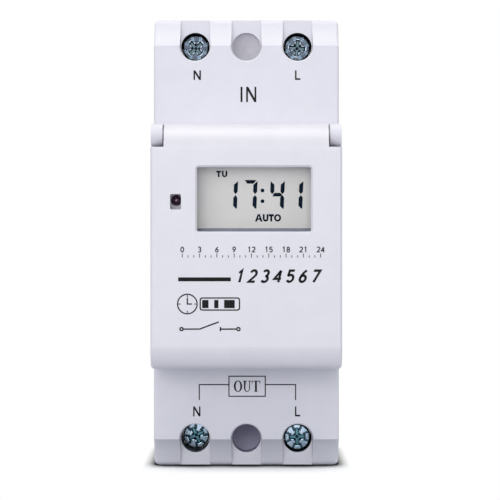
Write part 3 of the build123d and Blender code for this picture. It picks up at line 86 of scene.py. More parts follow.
# Terminals, and the wells round their screws, whose walls take a painted shade
TERMINALS = ("in_n", "in_l", "out_n", "out_l")
TERMINAL_X = sum(corner.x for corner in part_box("in_l_screw")) / 2 / MM
TERMINAL_Z = sum(corner.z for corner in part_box("in_l_screw")) / 2 / MM
WELL_RADIUS = 2.84
WELL_END_Y = -25.0
WELL_SHADE = 0.97
WELL_SHADE_COLOUR = (0.004, 0.004, 0.006, 1.0)
# The painted shade starts just below the floor of the pockets and is full a little deeper
SHADE_START_Y = -39.65
SHADE_FULL_Y = -39.1

# Painted shade in the two blank pockets: its share and its colour
TOP_BLANK_SHADE = 0.16
LOW_BLANK_SHADE = 0.45
TOP_BLANK_SHADE_COLOUR = (0.08, 0.08, 0.05, 1.0)
LOW_BLANK_SHADE_COLOUR = (0.03, 0.03, 0.22, 1.0)

# Seam between the two halves of the case
SEAM_Y = -16.0
SEAM_HALF_WIDTH = 0.1
SEAM_SHADE = 0.6
SEAM_DARK = (0.02, 0.02, 0.025, 1.0)

# Heads of the clamp screws
HEAD_RADIUS = 2.575
HEAD_HEIGHT = 2.5
HEAD_CROWN = 0.07
CROWN_RADIUS = HEAD_RADIUS - 0.22
CROWN_RINGS = 52
SCREW_STEPS = 176
# Round edge of a head: distance in from HEAD_RADIUS and down from the top of the crown
HEAD_EDGE = (
    (0.10, HEAD_CROWN + 0.06),
    (0.02, HEAD_CROWN + 0.16),
    (0.02, HEAD_HEIGHT - 0.1),
    (0.12, HEAD_HEIGHT),
)
SCREW_TURNS = {"in_n": 41.0, "in_l": -6.0, "out_n": 25.0, "out_l": 2.0}

# Cross recess of a head: two wings with a bevel, and a cone in the middle
WING_REACH = 1.8
WING_HALF_WIDTH = 0.62
WING_TAPER = 0.2
WING_DEPTH = 1.1
WALL_STEEPNESS = 6.0
BEVEL = 0.14
BEVEL_SLOPE = 0.12
CORE_RADIUS = 0.9
CORE_DEPTH = 1.6

# Radial nicks of a head
NICKS = 8
NICK_INNER = 1.5
NICK_RUN_IN = 0.2
NICK_HALF_WIDTH = 0.13
NICK_DEPTH = 0.22

# Depths over which a head's metal turns to the painted light and shade of its rims, and then to the
# painted shade of its recess
PAINTED_RIM_DEPTHS = (0.0, 0.01)
RECESS_SHADE_DEPTHS = (0.3, 0.5)

# Shank of the clamp screws: the thread starts a little below the head and ends before the tip
SHANK_RADIUS = 2.0
THREAD_DEPTH = 0.22
THREAD_PITCH = 0.7
THREAD_RINGS_A_TURN = 4
THREAD_AFTER_HEAD = 0.1
THREAD_BEFORE_TIP = 0.3
TIP_LENGTH = 0.25

# Clip spring: the pitch eases into the end coils by SPRING_EASE
SPRING_RADIUS = 1.3
SPRING_WIRE = 0.4
SPRING_COILS = 8
SPRING_STEPS_A_COIL = 28
SPRING_SIDES = 10
SPRING_EASE = 0.35

# Floor, in metres: half its size, and how far out the shadow shows in X and Y
FLOOR_HALF = 0.6
SHADOW_REACH = (0.0024, 0.018)
# Contact shadow painted on the floor from ambient occlusion: its reach in metres, the open shares
# it runs between, and its darkest tone
CONTACT_REACH = 0.009
CONTACT_SPAN = (0.5, 0.95)
CONTACT_DARKEST = 0.03
FLOOR_GREY = (0.52, 0.54, 0.58, 1.0)
FLOOR_GLOW = 0.12
BLACK = (0.0, 0.0, 0.0, 1.0)
WHITE = (1.0, 1.0, 1.0, 1.0)


def make_camera():
    """A camera that looks straight at the front of the device."""
    data = bpy.data.cameras.new("camera")
    data.lens = LENS_MM
    data.sensor_width = SENSOR_MM
    data.clip_start = 0.01
    data.clip_end = 20.0
    camera = bpy.data.objects.new("camera", data)
    bpy.context.scene.collection.objects.link(camera)
    y = SHOULDER_Y - CAMERA_TO_SHOULDERS
    camera.location = Vector((CAMERA_X, y, CAMERA_Z)) * MM
    camera.rotation_euler = (math.pi / 2, 0.0, 0.0)
    bpy.context.scene.camera = camera


make_camera()
bpy.context.scene.view_settings.view_transform = "Standard"


# Shader node helpers


def add_node(tree, kind, feeds=None, **settings):
    """A node with its settings, and with a plain value or another node's output on its inputs."""
    node = tree.nodes.new(kind)
    for name, value in settings.items():
        setattr(node, name, value)
    for name, feed in (feeds or {}).items():
        if isinstance(feed, bpy.types.NodeSocket):
            tree.links.new(feed, node.inputs[name])
        else:
            node.inputs[name].default_value = feed
    return node


def calc(tree, operation, *values):
    """The result of a math node on sockets and plain numbers."""
    feeds = dict(enumerate(values))
    return add_node(tree, "ShaderNodeMath", feeds, operation=operation).outputs["Value"]


def vector_calc(tree, operation, *values):
    """The vector that a math node makes of sockets and plain vectors."""
    feeds = dict(enumerate(values))
    return add_node(tree, "ShaderNodeVectorMath", feeds, operation=operation).outputs["Vector"]


def ramp(tree, value, start, end, low=0.0, high=1.0):
    """From low to high while value goes from start to end, and level outside."""
    feeds = {"Value": value, "From Min": start, "From Max": end, "To Min": low, "To Max": high}
    return add_node(tree, "ShaderNodeMapRange", feeds).outputs["Result"]


def blend(tree, factor, first, second):
    """The first colour where factor is nought, the second where it is one."""
    feeds = {"Factor": factor, "A": first, "B": second}
    return add_node(tree, "ShaderNodeMix", feeds, data_type="RGBA").outputs["Result"]


def object_place(tree):
    """The place of a surface point in its object's own frame."""
    return add_node(tree, "ShaderNodeTexCoord").outputs["Object"]


def fineness(tree, size):
    """The noise scale that gives clouds of about that size in millimetres."""
    return calc(tree, "DIVIDE", 1.0 / MM, size)


def noise(tree, place, scale, detail, roughness=0.5):
    feeds = {"Vector": place, "Scale": scale, "Detail": detail, "Roughness": roughness}
    return add_node(tree, "ShaderNodeTexNoise", feeds).outputs["Fac"]


# Surface groups, shared by the materials

# Values between which nearly all of a noise texture lies
NOISE_SPAN = (0.3, 0.7)
METAL_LINES_A_MM = 9.0


def make_group(name, inputs):
    """An empty surface group with inputs given as {name: default}."""
    group = bpy.data.node_groups.new(name, "ShaderNodeTree")
    for label, default in inputs.items():
        kind = "NodeSocketColor" if isinstance(default, tuple) else "NodeSocketFloat"
        socket = group.interface.new_socket(name=label, in_out="INPUT", socket_type=kind)
        socket.default_value = default
    for label, kind in (("Colour", "Color"), ("Roughness", "Float"), ("Normal", "Vector")):
        group.interface.new_socket(name=label, in_out="OUTPUT", socket_type=f"NodeSocket{kind}")
    given = group.nodes.new("NodeGroupInput").outputs
    made = group.nodes.new("NodeGroupOutput").inputs
    return group, given, made


def patched_colour(group, pattern, start, end, given, made, second):
    """Patches of the second colour where the pattern rises from start to end."""
    share = ramp(group, pattern, start, end)
    group.links.new(blend(group, share, given["Colour"], given[second]), made["Colour"])


def gloss_and_relief(group, pattern, given, made, height):
    """Uneven gloss and a fine relief that follow one pattern."""
    ends = given["Roughness Low"], given["Roughness High"]
    group.links.new(ramp(group, pattern, *NOISE_SPAN, *ends), made["Roughness"])
    lift = calc(group, "MULTIPLY", pattern, calc(group, "MULTIPLY", given[height], MM))
    bump = add_node(group, "ShaderNodeBump", {"Strength": 1.0, "Distance": 1.0, "Height": lift})
    group.links.new(bump.outputs["Normal"], made["Normal"])


def moulded_group():
    """Moulded plastic: cloudy colour, uneven gloss and the fine grain of the mould."""
    group, given, made = make_group(
        "moulded_surface",
        {
            "Colour": (0.8, 0.8, 0.8, 1.0),
            "Cloud Colour": (0.7, 0.7, 0.7, 1.0),
            "Cloud Size": 5.0,
            "Roughness Low": 0.4,
            "Roughness High": 0.5,
            "Grain Size": 0.08,
            "Grain Height": 0.004,
        },
    )
    place = object_place(group)
    clouds = noise(group, place, fineness(group, given["Cloud Size"]), 3.0, 0.6)
    patched_colour(group, clouds, 0.35, 0.65, given, made, "Cloud Colour")
    grain = noise(group, place, fineness(group, given["Grain Size"]), 2.0)
    gloss_and_relief(group, grain, given, made, "Grain Height")
    return group


def plated_group():
    """Plated or rolled metal: patches of tint, fine lines along X and uneven gloss."""
    group, given, made = make_group(
        "plated_surface",
        {
            "Colour": (0.6, 0.6, 0.6, 1.0),
            "Patch Colour": (0.5, 0.5, 0.6, 1.0),
            "Patch Size": 1.0,
            "Roughness Low": 0.25,
            "Roughness High": 0.45,
            "Line Stretch": 1.0,
            "Line Height": 0.003,
        },
    )
    place = object_place(group)
    patches = noise(group, place, fineness(group, given["Patch Size"]), 4.0, 0.65)
    patched_colour(group, patches, 0.38, 0.62, given, made, "Patch Colour")
    x, y, z = add_node(group, "ShaderNodeSeparateXYZ", {"Vector": place}).outputs
    stretched = calc(group, "DIVIDE", x, given["Line Stretch"])
    along = add_node(group, "ShaderNodeCombineXYZ", {"X": stretched, "Y": y, "Z": z})
    lines = noise(group, along.outputs["Vector"], METAL_LINES_A_MM / MM, 2.0)
    gloss_and_relief(group, lines, given, made, "Line Height")
    return group


MOULDED = moulded_group()
PLATED = plated_group()


# Materials


def surface_material(name, group, settings, shader_settings=None):
    """A material whose colour, gloss and grain come from one surface group."""
    material = bpy.data.materials.new(name)
    material.use_nodes = True
    tree = material.node_tree
    shader = tree.nodes["Principled BSDF"]
    surface = add_node(tree, "ShaderNodeGroup", node_tree=group)
    for label, value in settings.items():
        surface.inputs[label].default_value = value
    tree.links.new(surface.outputs["Colour"], shader.inputs["Base Color"])
    tree.links.new(surface.outputs["Roughness"], shader.inputs["Roughness"])
    tree.links.new(surface.outputs["Normal"], shader.inputs["Normal"])
    for label, value in (shader_settings or {}).items():
        shader.inputs[label].default_value = value
    return material


def darker(colour, share):
    """The same colour, darker by a share, with the alpha that a socket wants."""
    return tuple(part * (1.0 - share) for part in colour[:3]) + (1.0,)


def plastic(name, colour, low=0.38, high=0.5, cloud=0.03, grain=0.003, shader=None):
    """A moulded plastic."""
    settings = {
        "Colour": darker(colour, 0.0),
        "Cloud Colour": darker(colour, cloud),
        "Roughness Low": low,
        "Roughness High": high,
        "Grain Height": grain,
    }
    return surface_material(name, MOULDED, settings, shader)


def metal(name, colour, patch, low=0.25, high=0.45, stretch=1.0, size=1.0):
    """A plated or rolled metal."""
    settings = {
        "Colour": darker(colour, 0.0),
        "Patch Colour": darker(patch, 0.0),
        "Patch Size": size,
        "Roughness Low": low,
        "Roughness High": high,
        "Line Stretch": stretch,
    }
    return surface_material(name, PLATED, settings, {"Metallic": 1.0})


def clear(name, colour, alpha):
    """A clear sheet, seen as a faint veil with sharp reflections."""
    polish = {"Alpha": alpha, "IOR": 1.49, "Specular IOR Level": 0.08}
    return plastic(name, colour, low=0.04, high=0.1, cloud=0.02, grain=0.0002, shader=polish)


def shade_housing(material):
    """Paint shade into the screw wells and the blank pockets, and draw the seam of the two halves.
    """
    tree = material.node_tree
    base = tree.nodes["Principled BSDF"].inputs["Base Color"]
    x, y, z = add_node(tree, "ShaderNodeSeparateXYZ", {"Vector": object_place(tree)}).outputs
    before_end = calc(tree, "LESS_THAN", y, WELL_END_Y * MM)
    below_floor = ramp(tree, y, SHADE_START_Y * MM, SHADE_FULL_Y * MM)
    sunk = calc(tree, "MULTIPLY", before_end, below_floor)

    def holes(centre_x):
        """One inside the holes of both ends that lie centre_x from the middle, else nought."""
        across = calc(tree, "SUBTRACT", calc(tree, "ABSOLUTE", x), centre_x * MM)
        along = calc(tree, "SUBTRACT", calc(tree, "ABSOLUTE", z), TERMINAL_Z * MM)
        squares = [calc(tree, "MULTIPLY", offset, offset) for offset in (across, along)]
        reach = calc(tree, "SQRT", calc(tree, "ADD", *squares))
        return calc(tree, "MULTIPLY", calc(tree, "LESS_THAN", reach, WELL_RADIUS * MM), sunk)

    blank = holes(0.0)
    low_blank = calc(tree, "MULTIPLY", blank, calc(tree, "LESS_THAN", z, 0.0))
    top_blank = calc(tree, "SUBTRACT", blank, low_blank)
    off_seam = calc(tree, "ABSOLUTE", calc(tree, "SUBTRACT", y, SEAM_Y * MM))
    # Painted shade in the screw wells and the two blank pockets, then the dark line of the seam
    shades = (
        (calc(tree, "MULTIPLY", holes(TERMINAL_X), WELL_SHADE), WELL_SHADE_COLOUR),
        (calc(tree, "MULTIPLY", top_blank, TOP_BLANK_SHADE), TOP_BLANK_SHADE_COLOUR),
        (calc(tree, "MULTIPLY", low_blank, LOW_BLANK_SHADE), LOW_BLANK_SHADE_COLOUR),
        (ramp(tree, off_seam, 0.0, SEAM_HALF_WIDTH * MM, SEAM_SHADE, 0.0), SEAM_DARK),
    )
    for share, target_colour in shades:
        tree.links.new(blend(tree, share, base.links[0].from_socket, target_colour), base)


def head_metal(name, flat, patch, rim, recess, low, high):
    """Plated screw metal with painted light and shade on the rims of the head's recess and painted
    shade deeper in it.
    """
    material = metal(name, flat, patch, low=low, high=high, size=1.1)
    tree = material.node_tree
    shader = tree.nodes["Principled BSDF"]
    tone = shader.inputs["Base Color"].links[0].from_socket
    depth = add_node(tree, "ShaderNodeAttribute", attribute_name="recess").outputs["Fac"]
    # Painted light and shade on the rims, then painted shade deeper in the recess
    for depths, target_colour in ((PAINTED_RIM_DEPTHS, rim), (RECESS_SHADE_DEPTHS, recess)):
        tone = blend(tree, ramp(tree, depth, *depths), tone, darker(target_colour, 0.0))
    tree.links.new(tone, shader.inputs["Base Color"])
    return material


CASE_GREY = (0.70, 0.685, 0.745)
COVER_GREY = (0.695, 0.672, 0.728)
MATT = {"Specular IOR Level": 0.0}
SATIN = {"Specular IOR Level": 0.2}
LACQUERED = {"Coat Weight": 0.6, "Coat Roughness": 0.05}

# The housing is duller than the cover, most so in the hollows of its grain.
PLASTICS = {
    "housing_plastic": dict(colour=CASE_GREY, low=0.62, high=0.5),
    "cover_plastic": dict(colour=COVER_GREY, low=0.34, high=0.44),
    "clip_plastic": dict(colour=(0.40, 0.41, 0.45), low=0.4, high=0.55),
    "key_plastic": dict(colour=(0.16, 0.18, 0.24), low=0.35, high=0.5),
    "white_plastic": dict(colour=(0.80, 0.80, 0.78)),
    "polariser_film": dict(colour=(0.765, 0.735, 0.715), low=0.3, high=0.36, shader=SATIN),
    "reflector_foil": dict(colour=(0.62, 0.62, 0.60), low=0.3, high=0.4),
    "contact_rubber": dict(colour=(0.02, 0.02, 0.02), low=0.6, high=0.75),
    "keypad_rubber": dict(colour=(0.30, 0.31, 0.33), low=0.6, high=0.75),
    "red_lamp": dict(
        colour=(0.055, 0.018, 0.048), low=0.12, high=0.2, grain=0.0005, shader=LACQUERED
    ),
    "relay_plastic": dict(colour=(0.02, 0.02, 0.024)),
    "relay_cover_plastic": dict(colour=(0.03, 0.09, 0.30), low=0.2, high=0.3),
    "circuit_board": dict(colour=(0.012, 0.10, 0.035), low=0.25, high=0.4, cloud=0.3),
    "epoxy": dict(colour=(0.012, 0.012, 0.014), low=0.3, high=0.5, grain=0.01),
    "ribbon_insulation": dict(colour=(0.20, 0.20, 0.22), low=0.45, high=0.6),
    "capacitor_case": dict(colour=(0.62, 0.42, 0.03), low=0.3, high=0.4),
    "capacitor_sleeve": dict(colour=(0.01, 0.012, 0.02), low=0.2, high=0.3),
    "varistor_coating": dict(colour=(0.02, 0.07, 0.26), low=0.4, high=0.6, grain=0.02),
    "resistor_lacquer": dict(colour=(0.10, 0.20, 0.36), low=0.3, high=0.45),
}
CLEAR_SHEETS = {
    "clear_plastic": dict(colour=(0.10, 0.11, 0.12), alpha=0.02),
    "display_glass": dict(colour=(0.50, 0.54, 0.66), alpha=0.6),
}
METALS = {
    "zinc_steel": dict(
        colour=(0.60, 0.67, 0.76), patch=(0.40, 0.47, 0.60), low=0.18, high=0.34, size=1.1
    ),
    "plated_steel": dict(colour=(0.56, 0.56, 0.57), patch=(0.46, 0.46, 0.48)),
    "spring_steel": dict(colour=(0.50, 0.50, 0.51), patch=(0.36, 0.36, 0.38)),
    "copper_strip": dict(colour=(0.72, 0.38, 0.24), patch=(0.55, 0.26, 0.15), stretch=20.0),
    "copper_wire": dict(colour=(0.50, 0.20, 0.08), patch=(0.40, 0.14, 0.05), stretch=8.0),
    "spring_bronze": dict(colour=(0.72, 0.50, 0.28), patch=(0.60, 0.40, 0.20)),
    "relay_iron": dict(colour=(0.48, 0.49, 0.51), patch=(0.38, 0.39, 0.42)),
    "crystal_can": dict(
        colour=(0.66, 0.66, 0.66), patch=(0.58, 0.58, 0.60), low=0.15, high=0.25
    ),
    "battery_steel": dict(colour=(0.62, 0.62, 0.62), patch=(0.52, 0.52, 0.54), stretch=6.0),
}

LOOKS = {}
for maker, kinds in ((plastic, PLASTICS), (clear, CLEAR_SHEETS), (metal, METALS)):
    for kind, finish in kinds.items():
        LOOKS[kind] = maker(kind, **finish)
shade_housing(LOOKS["housing_plastic"])

# The top heads are a darker copy of the plated metal and the low heads a brighter one, so the
# difference between them is painted shade and light; the top heads' rims carry a painted highlight,
# the low heads' rims painted shade
SHADED_TOP_HEADS = head_metal(
    "shaded_screw_head",
    flat=(0.048, 0.059, 0.076),
    patch=(0.022, 0.029, 0.040),
    rim=(0.36, 0.43, 0.50),
    recess=(0.040, 0.060, 0.072),
    low=0.2,
    high=0.34,
)
LIT_LOW_HEADS = head_metal(
    "lit_screw_head",
    flat=(0.25, 0.31, 0.38),
    patch=(0.15, 0.21, 0.28),
    rim=(0.17, 0.24, 0.29),
    recess=(0.045, 0.11, 0.14),
    low=0.16,
    high=0.28,
)
PRINTING = plastic(
    "printing_ink", (0.02, 0.022, 0.021), low=0.5, high=0.62, cloud=0.12, grain=0.001, shader=MATT
)
DISPLAY_INK = plastic(
    "display_ink", (0.004, 0.012, 0.026), low=0.35, high=0.45, cloud=0.1, grain=0.0005, shader=MATT
)


def dress_solids():
    """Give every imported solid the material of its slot."""
    for entry in frame["record"]["subparts"]:
        for slot in frame["nodes"][entry["node"]].material_slots:
            slot.material = LOOKS[entry["material_slot"]]


dress_solids()


# Meshes


def place_piece(name, mesh, body, material):
    """Put a finished mesh into the scene, riding on a body."""
    piece = bpy.data.objects.new(name, mesh)
    bpy.context.scene.collection.objects.link(piece)
    mesh.materials.clear()
    mesh.materials.append(material)
    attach(piece, body)
    return piece


def skinned_mesh(name, rings, crease_degrees):
    """A closed mesh over rings of as many points each, smooth with its hard edges kept."""
    shape = bmesh.new()
    loops = [[shape.verts.new(point) for point in ring] for ring in rings]
    for near, far in zip(loops, loops[1:]):
        for i in range(len(near)):
            j = (i + 1) % len(near)
            shape.faces.new((near[i], far[i], far[j], near[j]))
    shape.faces.new(reversed(loops[0]))
    shape.faces.new(loops[-1])
    bmesh.ops.recalc_face_normals(shape, faces=shape.faces)
    mesh = bpy.data.meshes.new(name)
    shape.to_mesh(mesh)
    shape.free()
    mesh.shade_smooth()
    mesh.set_sharp_from_angle(angle=math.radians(crease_degrees))
    return mesh


def smooth_step(low, high, value):
    """From 0 below low to 1 above high, with soft ends."""
    share = min(1.0, max(0.0, (value - low) / (high - low)))
    return share * share * (3.0 - 2.0 * share)


def crown_radius(ring):
    """Radius of one of the rings over the crown of a screw head."""
    return CROWN_RADIUS * (ring + 1) / CROWN_RINGS


def recess_depth(radius, angle):
    """Depth below the crown of the bevelled cross recess and the radial nicks of a screw head."""
    x = radius * math.cos(angle)
    z = radius * math.sin(angle)
    within = 0.0
    for along, across in ((x, z), (z, x)):
        narrow = WING_HALF_WIDTH * (1.0 - WING_TAPER * min(1.0, abs(along) / WING_REACH))
        within = max(within, min(narrow - abs(across), WING_REACH - abs(along)))
    wall = max(0.0, within - BEVEL) * WALL_STEEPNESS
    depth = min(WING_DEPTH, min(within, BEVEL) * BEVEL_SLOPE + wall)
    depth = max(depth, CORE_DEPTH * max(0.0, 1.0 - radius / CORE_RADIUS))
    for nick in range(NICKS):
        turn = angle - (nick + 0.5) * 2 * math.pi / NICKS
        off = abs(radius * math.sin(turn))
        if math.cos(turn) > 0 and off < 2 * NICK_HALF_WIDTH:
            groove = 1.0 - smooth_step(0.0, 2 * NICK_HALF_WIDTH, off)
            start = smooth_step(NICK_INNER - NICK_RUN_IN, NICK_INNER, radius)
            depth = max(depth, NICK_DEPTH * groove * start)
    return depth


def screw_profile(length):
    """The rings of a clamp screw from crown to tip, each giving radius and depth at an angle."""

    def crown(radius):
        dome = HEAD_CROWN * (radius / HEAD_RADIUS) ** 2
        return lambda angle: (radius, dome + recess_depth(radius, angle))

    def plain(radius, depth):
        return lambda angle: (radius, depth)

    def threaded(depth):
        def ring(angle):
            phase = (depth / THREAD_PITCH - angle / (2 * math.pi)) % 1.0
            return SHANK_RADIUS - THREAD_DEPTH * abs(2.0 * phase - 1.0), depth
        return ring

    root = SHANK_RADIUS - THREAD_DEPTH
    rings = [crown(crown_radius(ring)) for ring in range(CROWN_RINGS)]
    rings += [plain(HEAD_RADIUS - inset, depth) for inset, depth in HEAD_EDGE]
    rings.append(plain(root, HEAD_HEIGHT))
    thread_start = HEAD_HEIGHT + THREAD_AFTER_HEAD
    step = THREAD_PITCH / THREAD_RINGS_A_TURN
    for index in range(int((length - THREAD_BEFORE_TIP - thread_start) / step)):
        rings.append(threaded(thread_start + index * step))
    rings.append(plain(root, length - TIP_LENGTH))
    rings.append(plain(root - THREAD_DEPTH, length))
    return rings


def clamp_screw(terminal):
    """A clamp screw with a crowned head, cross recess, radial nicks and a thread."""
    low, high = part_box(f"{terminal}_screw")
    centre_x = (low.x + high.x) / 2 / MM
    centre_z = (low.z + high.z) / 2 / MM
    face_y = low.y / MM
    turned = math.radians(SCREW_TURNS[terminal])
    angles = [2 * math.pi * step / SCREW_STEPS for step in range(SCREW_STEPS)]

    def point(angle, radius, depth):
        x = centre_x + radius * math.cos(angle + turned)
        z = centre_z + radius * math.sin(angle + turned)
        return Vector((x, face_y + depth, z)) * MM

    rings = [
        [point(angle, *ring(angle)) for angle in angles]
        for ring in screw_profile(high.y / MM - face_y)
    ]
    name = f"{terminal}_clamp_screw"
    mesh = skinned_mesh(name, rings, 30.0)
    # Depth below the crown, which the head's material reads for its painted rim and recess tones
    depths = mesh.attributes.new("recess", "FLOAT", "POINT").data
    for index in range(CROWN_RINGS * SCREW_STEPS):
        ring, step = divmod(index, SCREW_STEPS)
        depths[index].value = recess_depth(crown_radius(ring), angles[step])
    # Painted shade on the top heads, painted light on the low ones
    heads = SHADED_TOP_HEADS if centre_z > 0 else LIT_LOW_HEADS
    screw = place_piece(name, mesh, f"{terminal}_screw", heads)
    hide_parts(f"{terminal}_screw")


def clip_spring():
    """The compression spring of the rail clip, with its closed end coils."""
    low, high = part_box("din_clip_spring")
    centre_y = (low.y + high.y) / 2 / MM
    bottom = low.z / MM + SPRING_WIRE / 2
    top = high.z / MM - SPRING_WIRE / 2
    steps = SPRING_STEPS_A_COIL * SPRING_COILS
    up = Vector((0, 0, 1))
    rings = []
    for i in range(steps + 1):
        angle = 2 * math.pi * SPRING_COILS * i / steps
        share = i / steps
        eased = smooth_step(0.0, 1.0, share) * SPRING_EASE + share * (1 - SPRING_EASE)
        outward = Vector((math.cos(angle), math.sin(angle), 0.0))
        middle = outward * SPRING_RADIUS + Vector((0.0, centre_y, bottom + (top - bottom) * eased))
        ring = []
        for k in range(SPRING_SIDES):
            side = 2 * math.pi * k / SPRING_SIDES
            offset = outward * math.cos(side) + up * math.sin(side)
            ring.append((middle + offset * SPRING_WIRE / 2) * MM)
        rings.append(ring)
    mesh = skinned_mesh("clip_spring", rings, 60.0)
    spring = place_piece("clip_spring", mesh, "case", LOOKS["spring_steel"])
    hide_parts("din_clip_spring")
    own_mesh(spring)


# Printing: flat outlines in X and Z, filled by the even-odd rule


def rectangle(x0, z0, x1, z1):
    return [(x0, z0), (x1, z0), (x1, z1), (x0, z1)]


def box_outline(x, z, width, height):
    """A rectangle centred on x and z."""
    return rectangle(x - width / 2, z - height / 2, x + width / 2, z + height / 2)


def arc(x, z, radius_x, radius_z, start, end, steps=14):
    """Points along part of an ellipse, angles in degrees."""
    angles = [math.radians(start + (end - start) * i / steps) for i in range(steps + 1)]
    return [(x + radius_x * math.cos(a), z + radius_z * math.sin(a)) for a in angles]


def ellipse(x, z, radius_x, radius_z, steps=40):
    return arc(x, z, radius_x, radius_z, 0, 360, steps)[:-1]


def ring_outlines(x, z, radius, line):
    """A circle drawn with a line of that thickness inside its radius."""
    return [ellipse(x, z, radius, radius), ellipse(x, z, radius - line, radius - line)]


def bar(start, end, width):
    """A straight stroke with square ends."""
    x0, z0 = start
    x1, z1 = end
    length = math.hypot(x1 - x0, z1 - z0)
    across_x = -(z1 - z0) / length * width / 2
    across_z = (x1 - x0) / length * width / 2
    return [
        (x0 + across_x, z0 + across_z),
        (x1 + across_x, z1 + across_z),
        (x1 - across_x, z1 - across_z),
        (x0 - across_x, z0 - across_z),
    ]


def pill(x, z, width, height, radius, steps=8):
    """A rectangle with round corners."""
    points = []
    for corner, (side_x, side_z) in enumerate(((1, 1), (-1, 1), (-1, -1), (1, -1))):
        centre_x = x + side_x * (width / 2 - radius)
        centre_z = z + side_z * (height / 2 - radius)
        points += arc(centre_x, centre_z, radius, radius, corner * 90, corner * 90 + 90, steps)
    return points


def slanted(outline, foot_z, degrees):
    """Lean an outline to the right about the line z = foot_z."""
    lean = math.tan(math.radians(degrees))
    return [(x + (z - foot_z) * lean, z) for x, z in outline]


def fitted(outlines, left, foot, width, height):
    """Outlines from a unit box, stretched into a box whose lower left corner is given."""
    return [[(left + u * width, foot + v * height) for u, v in outline] for outline in outlines]


def print_mesh(name, layers, y):
    """Fill each layer's outlines and lay them on the plane at y, INK_THICKNESS proud of it."""
    shape = bmesh.new()
    for outlines in layers:
        curve = bpy.data.curves.new(name, "CURVE")
        curve.dimensions = "2D"
        curve.fill_mode = "BOTH"
        curve.extrude = INK_THICKNESS / 2
        for outline in outlines:
            spline = curve.splines.new("POLY")
            spline.points.add(len(outline) - 1)
            for corner, (x, z) in zip(spline.points, outline):
                corner.co = (x, z, 0.0, 1.0)
            spline.use_cyclic_u = True
        holder = bpy.data.objects.new(name, curve)
        filled = bpy.data.meshes.new_from_object(holder)
        shape.from_mesh(filled)
        bpy.data.objects.remove(holder)
        bpy.data.curves.remove(curve)
        bpy.data.meshes.remove(filled)
    stand = Matrix.Translation((0, (y - INK_THICKNESS / 2) * MM, 0))
    stand = stand @ Matrix.Rotation(math.pi / 2, 4, "X") @ Matrix.Scale(MM, 4)
    bmesh.ops.transform(shape, matrix=stand, verts=shape.verts)
    bmesh.ops.remove_doubles(shape, verts=shape.verts, dist=MM * 1e-4)
    bmesh.ops.recalc_face_normals(shape, faces=shape.faces)
    mesh = bpy.data.meshes.new(name)
    shape.to_mesh(mesh)
    shape.free()
    return mesh


def print_on(name, layers, y, body, ink=PRINTING):
    """Print layers of outlines on the plane at y of a body."""
    place_piece(name, print_mesh(name, layers, y), body, ink)


# Letters, each in a box one unit wide and one high


def letter_l(stroke):
    return [[(0, 0), (1, 0), (1, stroke * 0.62), (stroke, stroke * 0.62), (stroke, 1), (0, 1)]]


def letter_n(stroke):
    slope = stroke * 1.15
    return [
        [
            (0, 0), (stroke, 0), (stroke, 1 - slope * 1.35), (1 - slope, 0), (1, 0),
            (1, 1), (1 - stroke, 1), (1 - stroke, slope * 1.35), (slope, 1), (0, 1),
        ]
    ]


def letter_i(_stroke):
    return [rectangle(0, 0, 1, 1)]


def letter_t(stroke):
    left, right = 0.5 - stroke / 2, 0.5 + stroke / 2
    cap = 1 - stroke * 0.8
    return [[(left, 0), (right, 0), (right, cap), (1, cap), (1, 1), (0, 1), (0, cap), (left, cap)]]


def letter_u(stroke):
    outer = arc(0.5, 0.36, 0.5, 0.36, 180, 360)
    inner = arc(0.5, 0.36, 0.5 - stroke, 0.36 - stroke * 0.75, 360, 180)
    return [[(0, 1)] + outer + [(1, 1), (1 - stroke, 1)] + inner + [(stroke, 1)]]


def letter_o(stroke):
    return [ellipse(0.5, 0.5, 0.5, 0.5), ellipse(0.5, 0.5, 0.5 - stroke, 0.5 - stroke * 0.85)]


def letter_a(stroke):
    slope = stroke * 1.05
    bar_low = 0.24
    bar_high = bar_low + stroke * 0.7
    return [
        [
            (0, 0), (slope, 0), (slope + bar_low * 0.36, bar_low),
            (1 - slope - bar_low * 0.36, bar_low), (1 - slope, 0), (1, 0),
            (0.5 + slope * 0.58, 1), (0.5 - slope * 0.58, 1),
        ],
        [(slope + bar_high * 0.38, bar_high), (1 - slope - bar_high * 0.38, bar_high), (0.5, 0.84)],
    ]


# Each letter's outlines, and its width against its height
LETTERS = {
    "L": (letter_l, 0.62),
    "N": (letter_n, 0.82),
    "I": (letter_i, 0.16),
    "T": (letter_t, 0.74),
    "U": (letter_u, 0.80),
    "O": (letter_o, 1.0),
    "A": (letter_a, 1.08),
}


def word(text, x, z, width, height, stroke_mm, gap):
    """Letters side by side in a box centred on x and z, all strokes stroke_mm wide."""
    natural = sum(LETTERS[character][1] for character in text) + gap * (len(text) - 1)
    stretch = width / natural
    left = x - width / 2
    layers = []
    for character in text:
        letter, share = LETTERS[character]
        wide = share * stretch
        outlines = letter(min(0.45, stroke_mm / wide))
        layers.append(fitted(outlines, left, z - height / 2, wide, height))
        left += wide + gap * stretch
    return layers


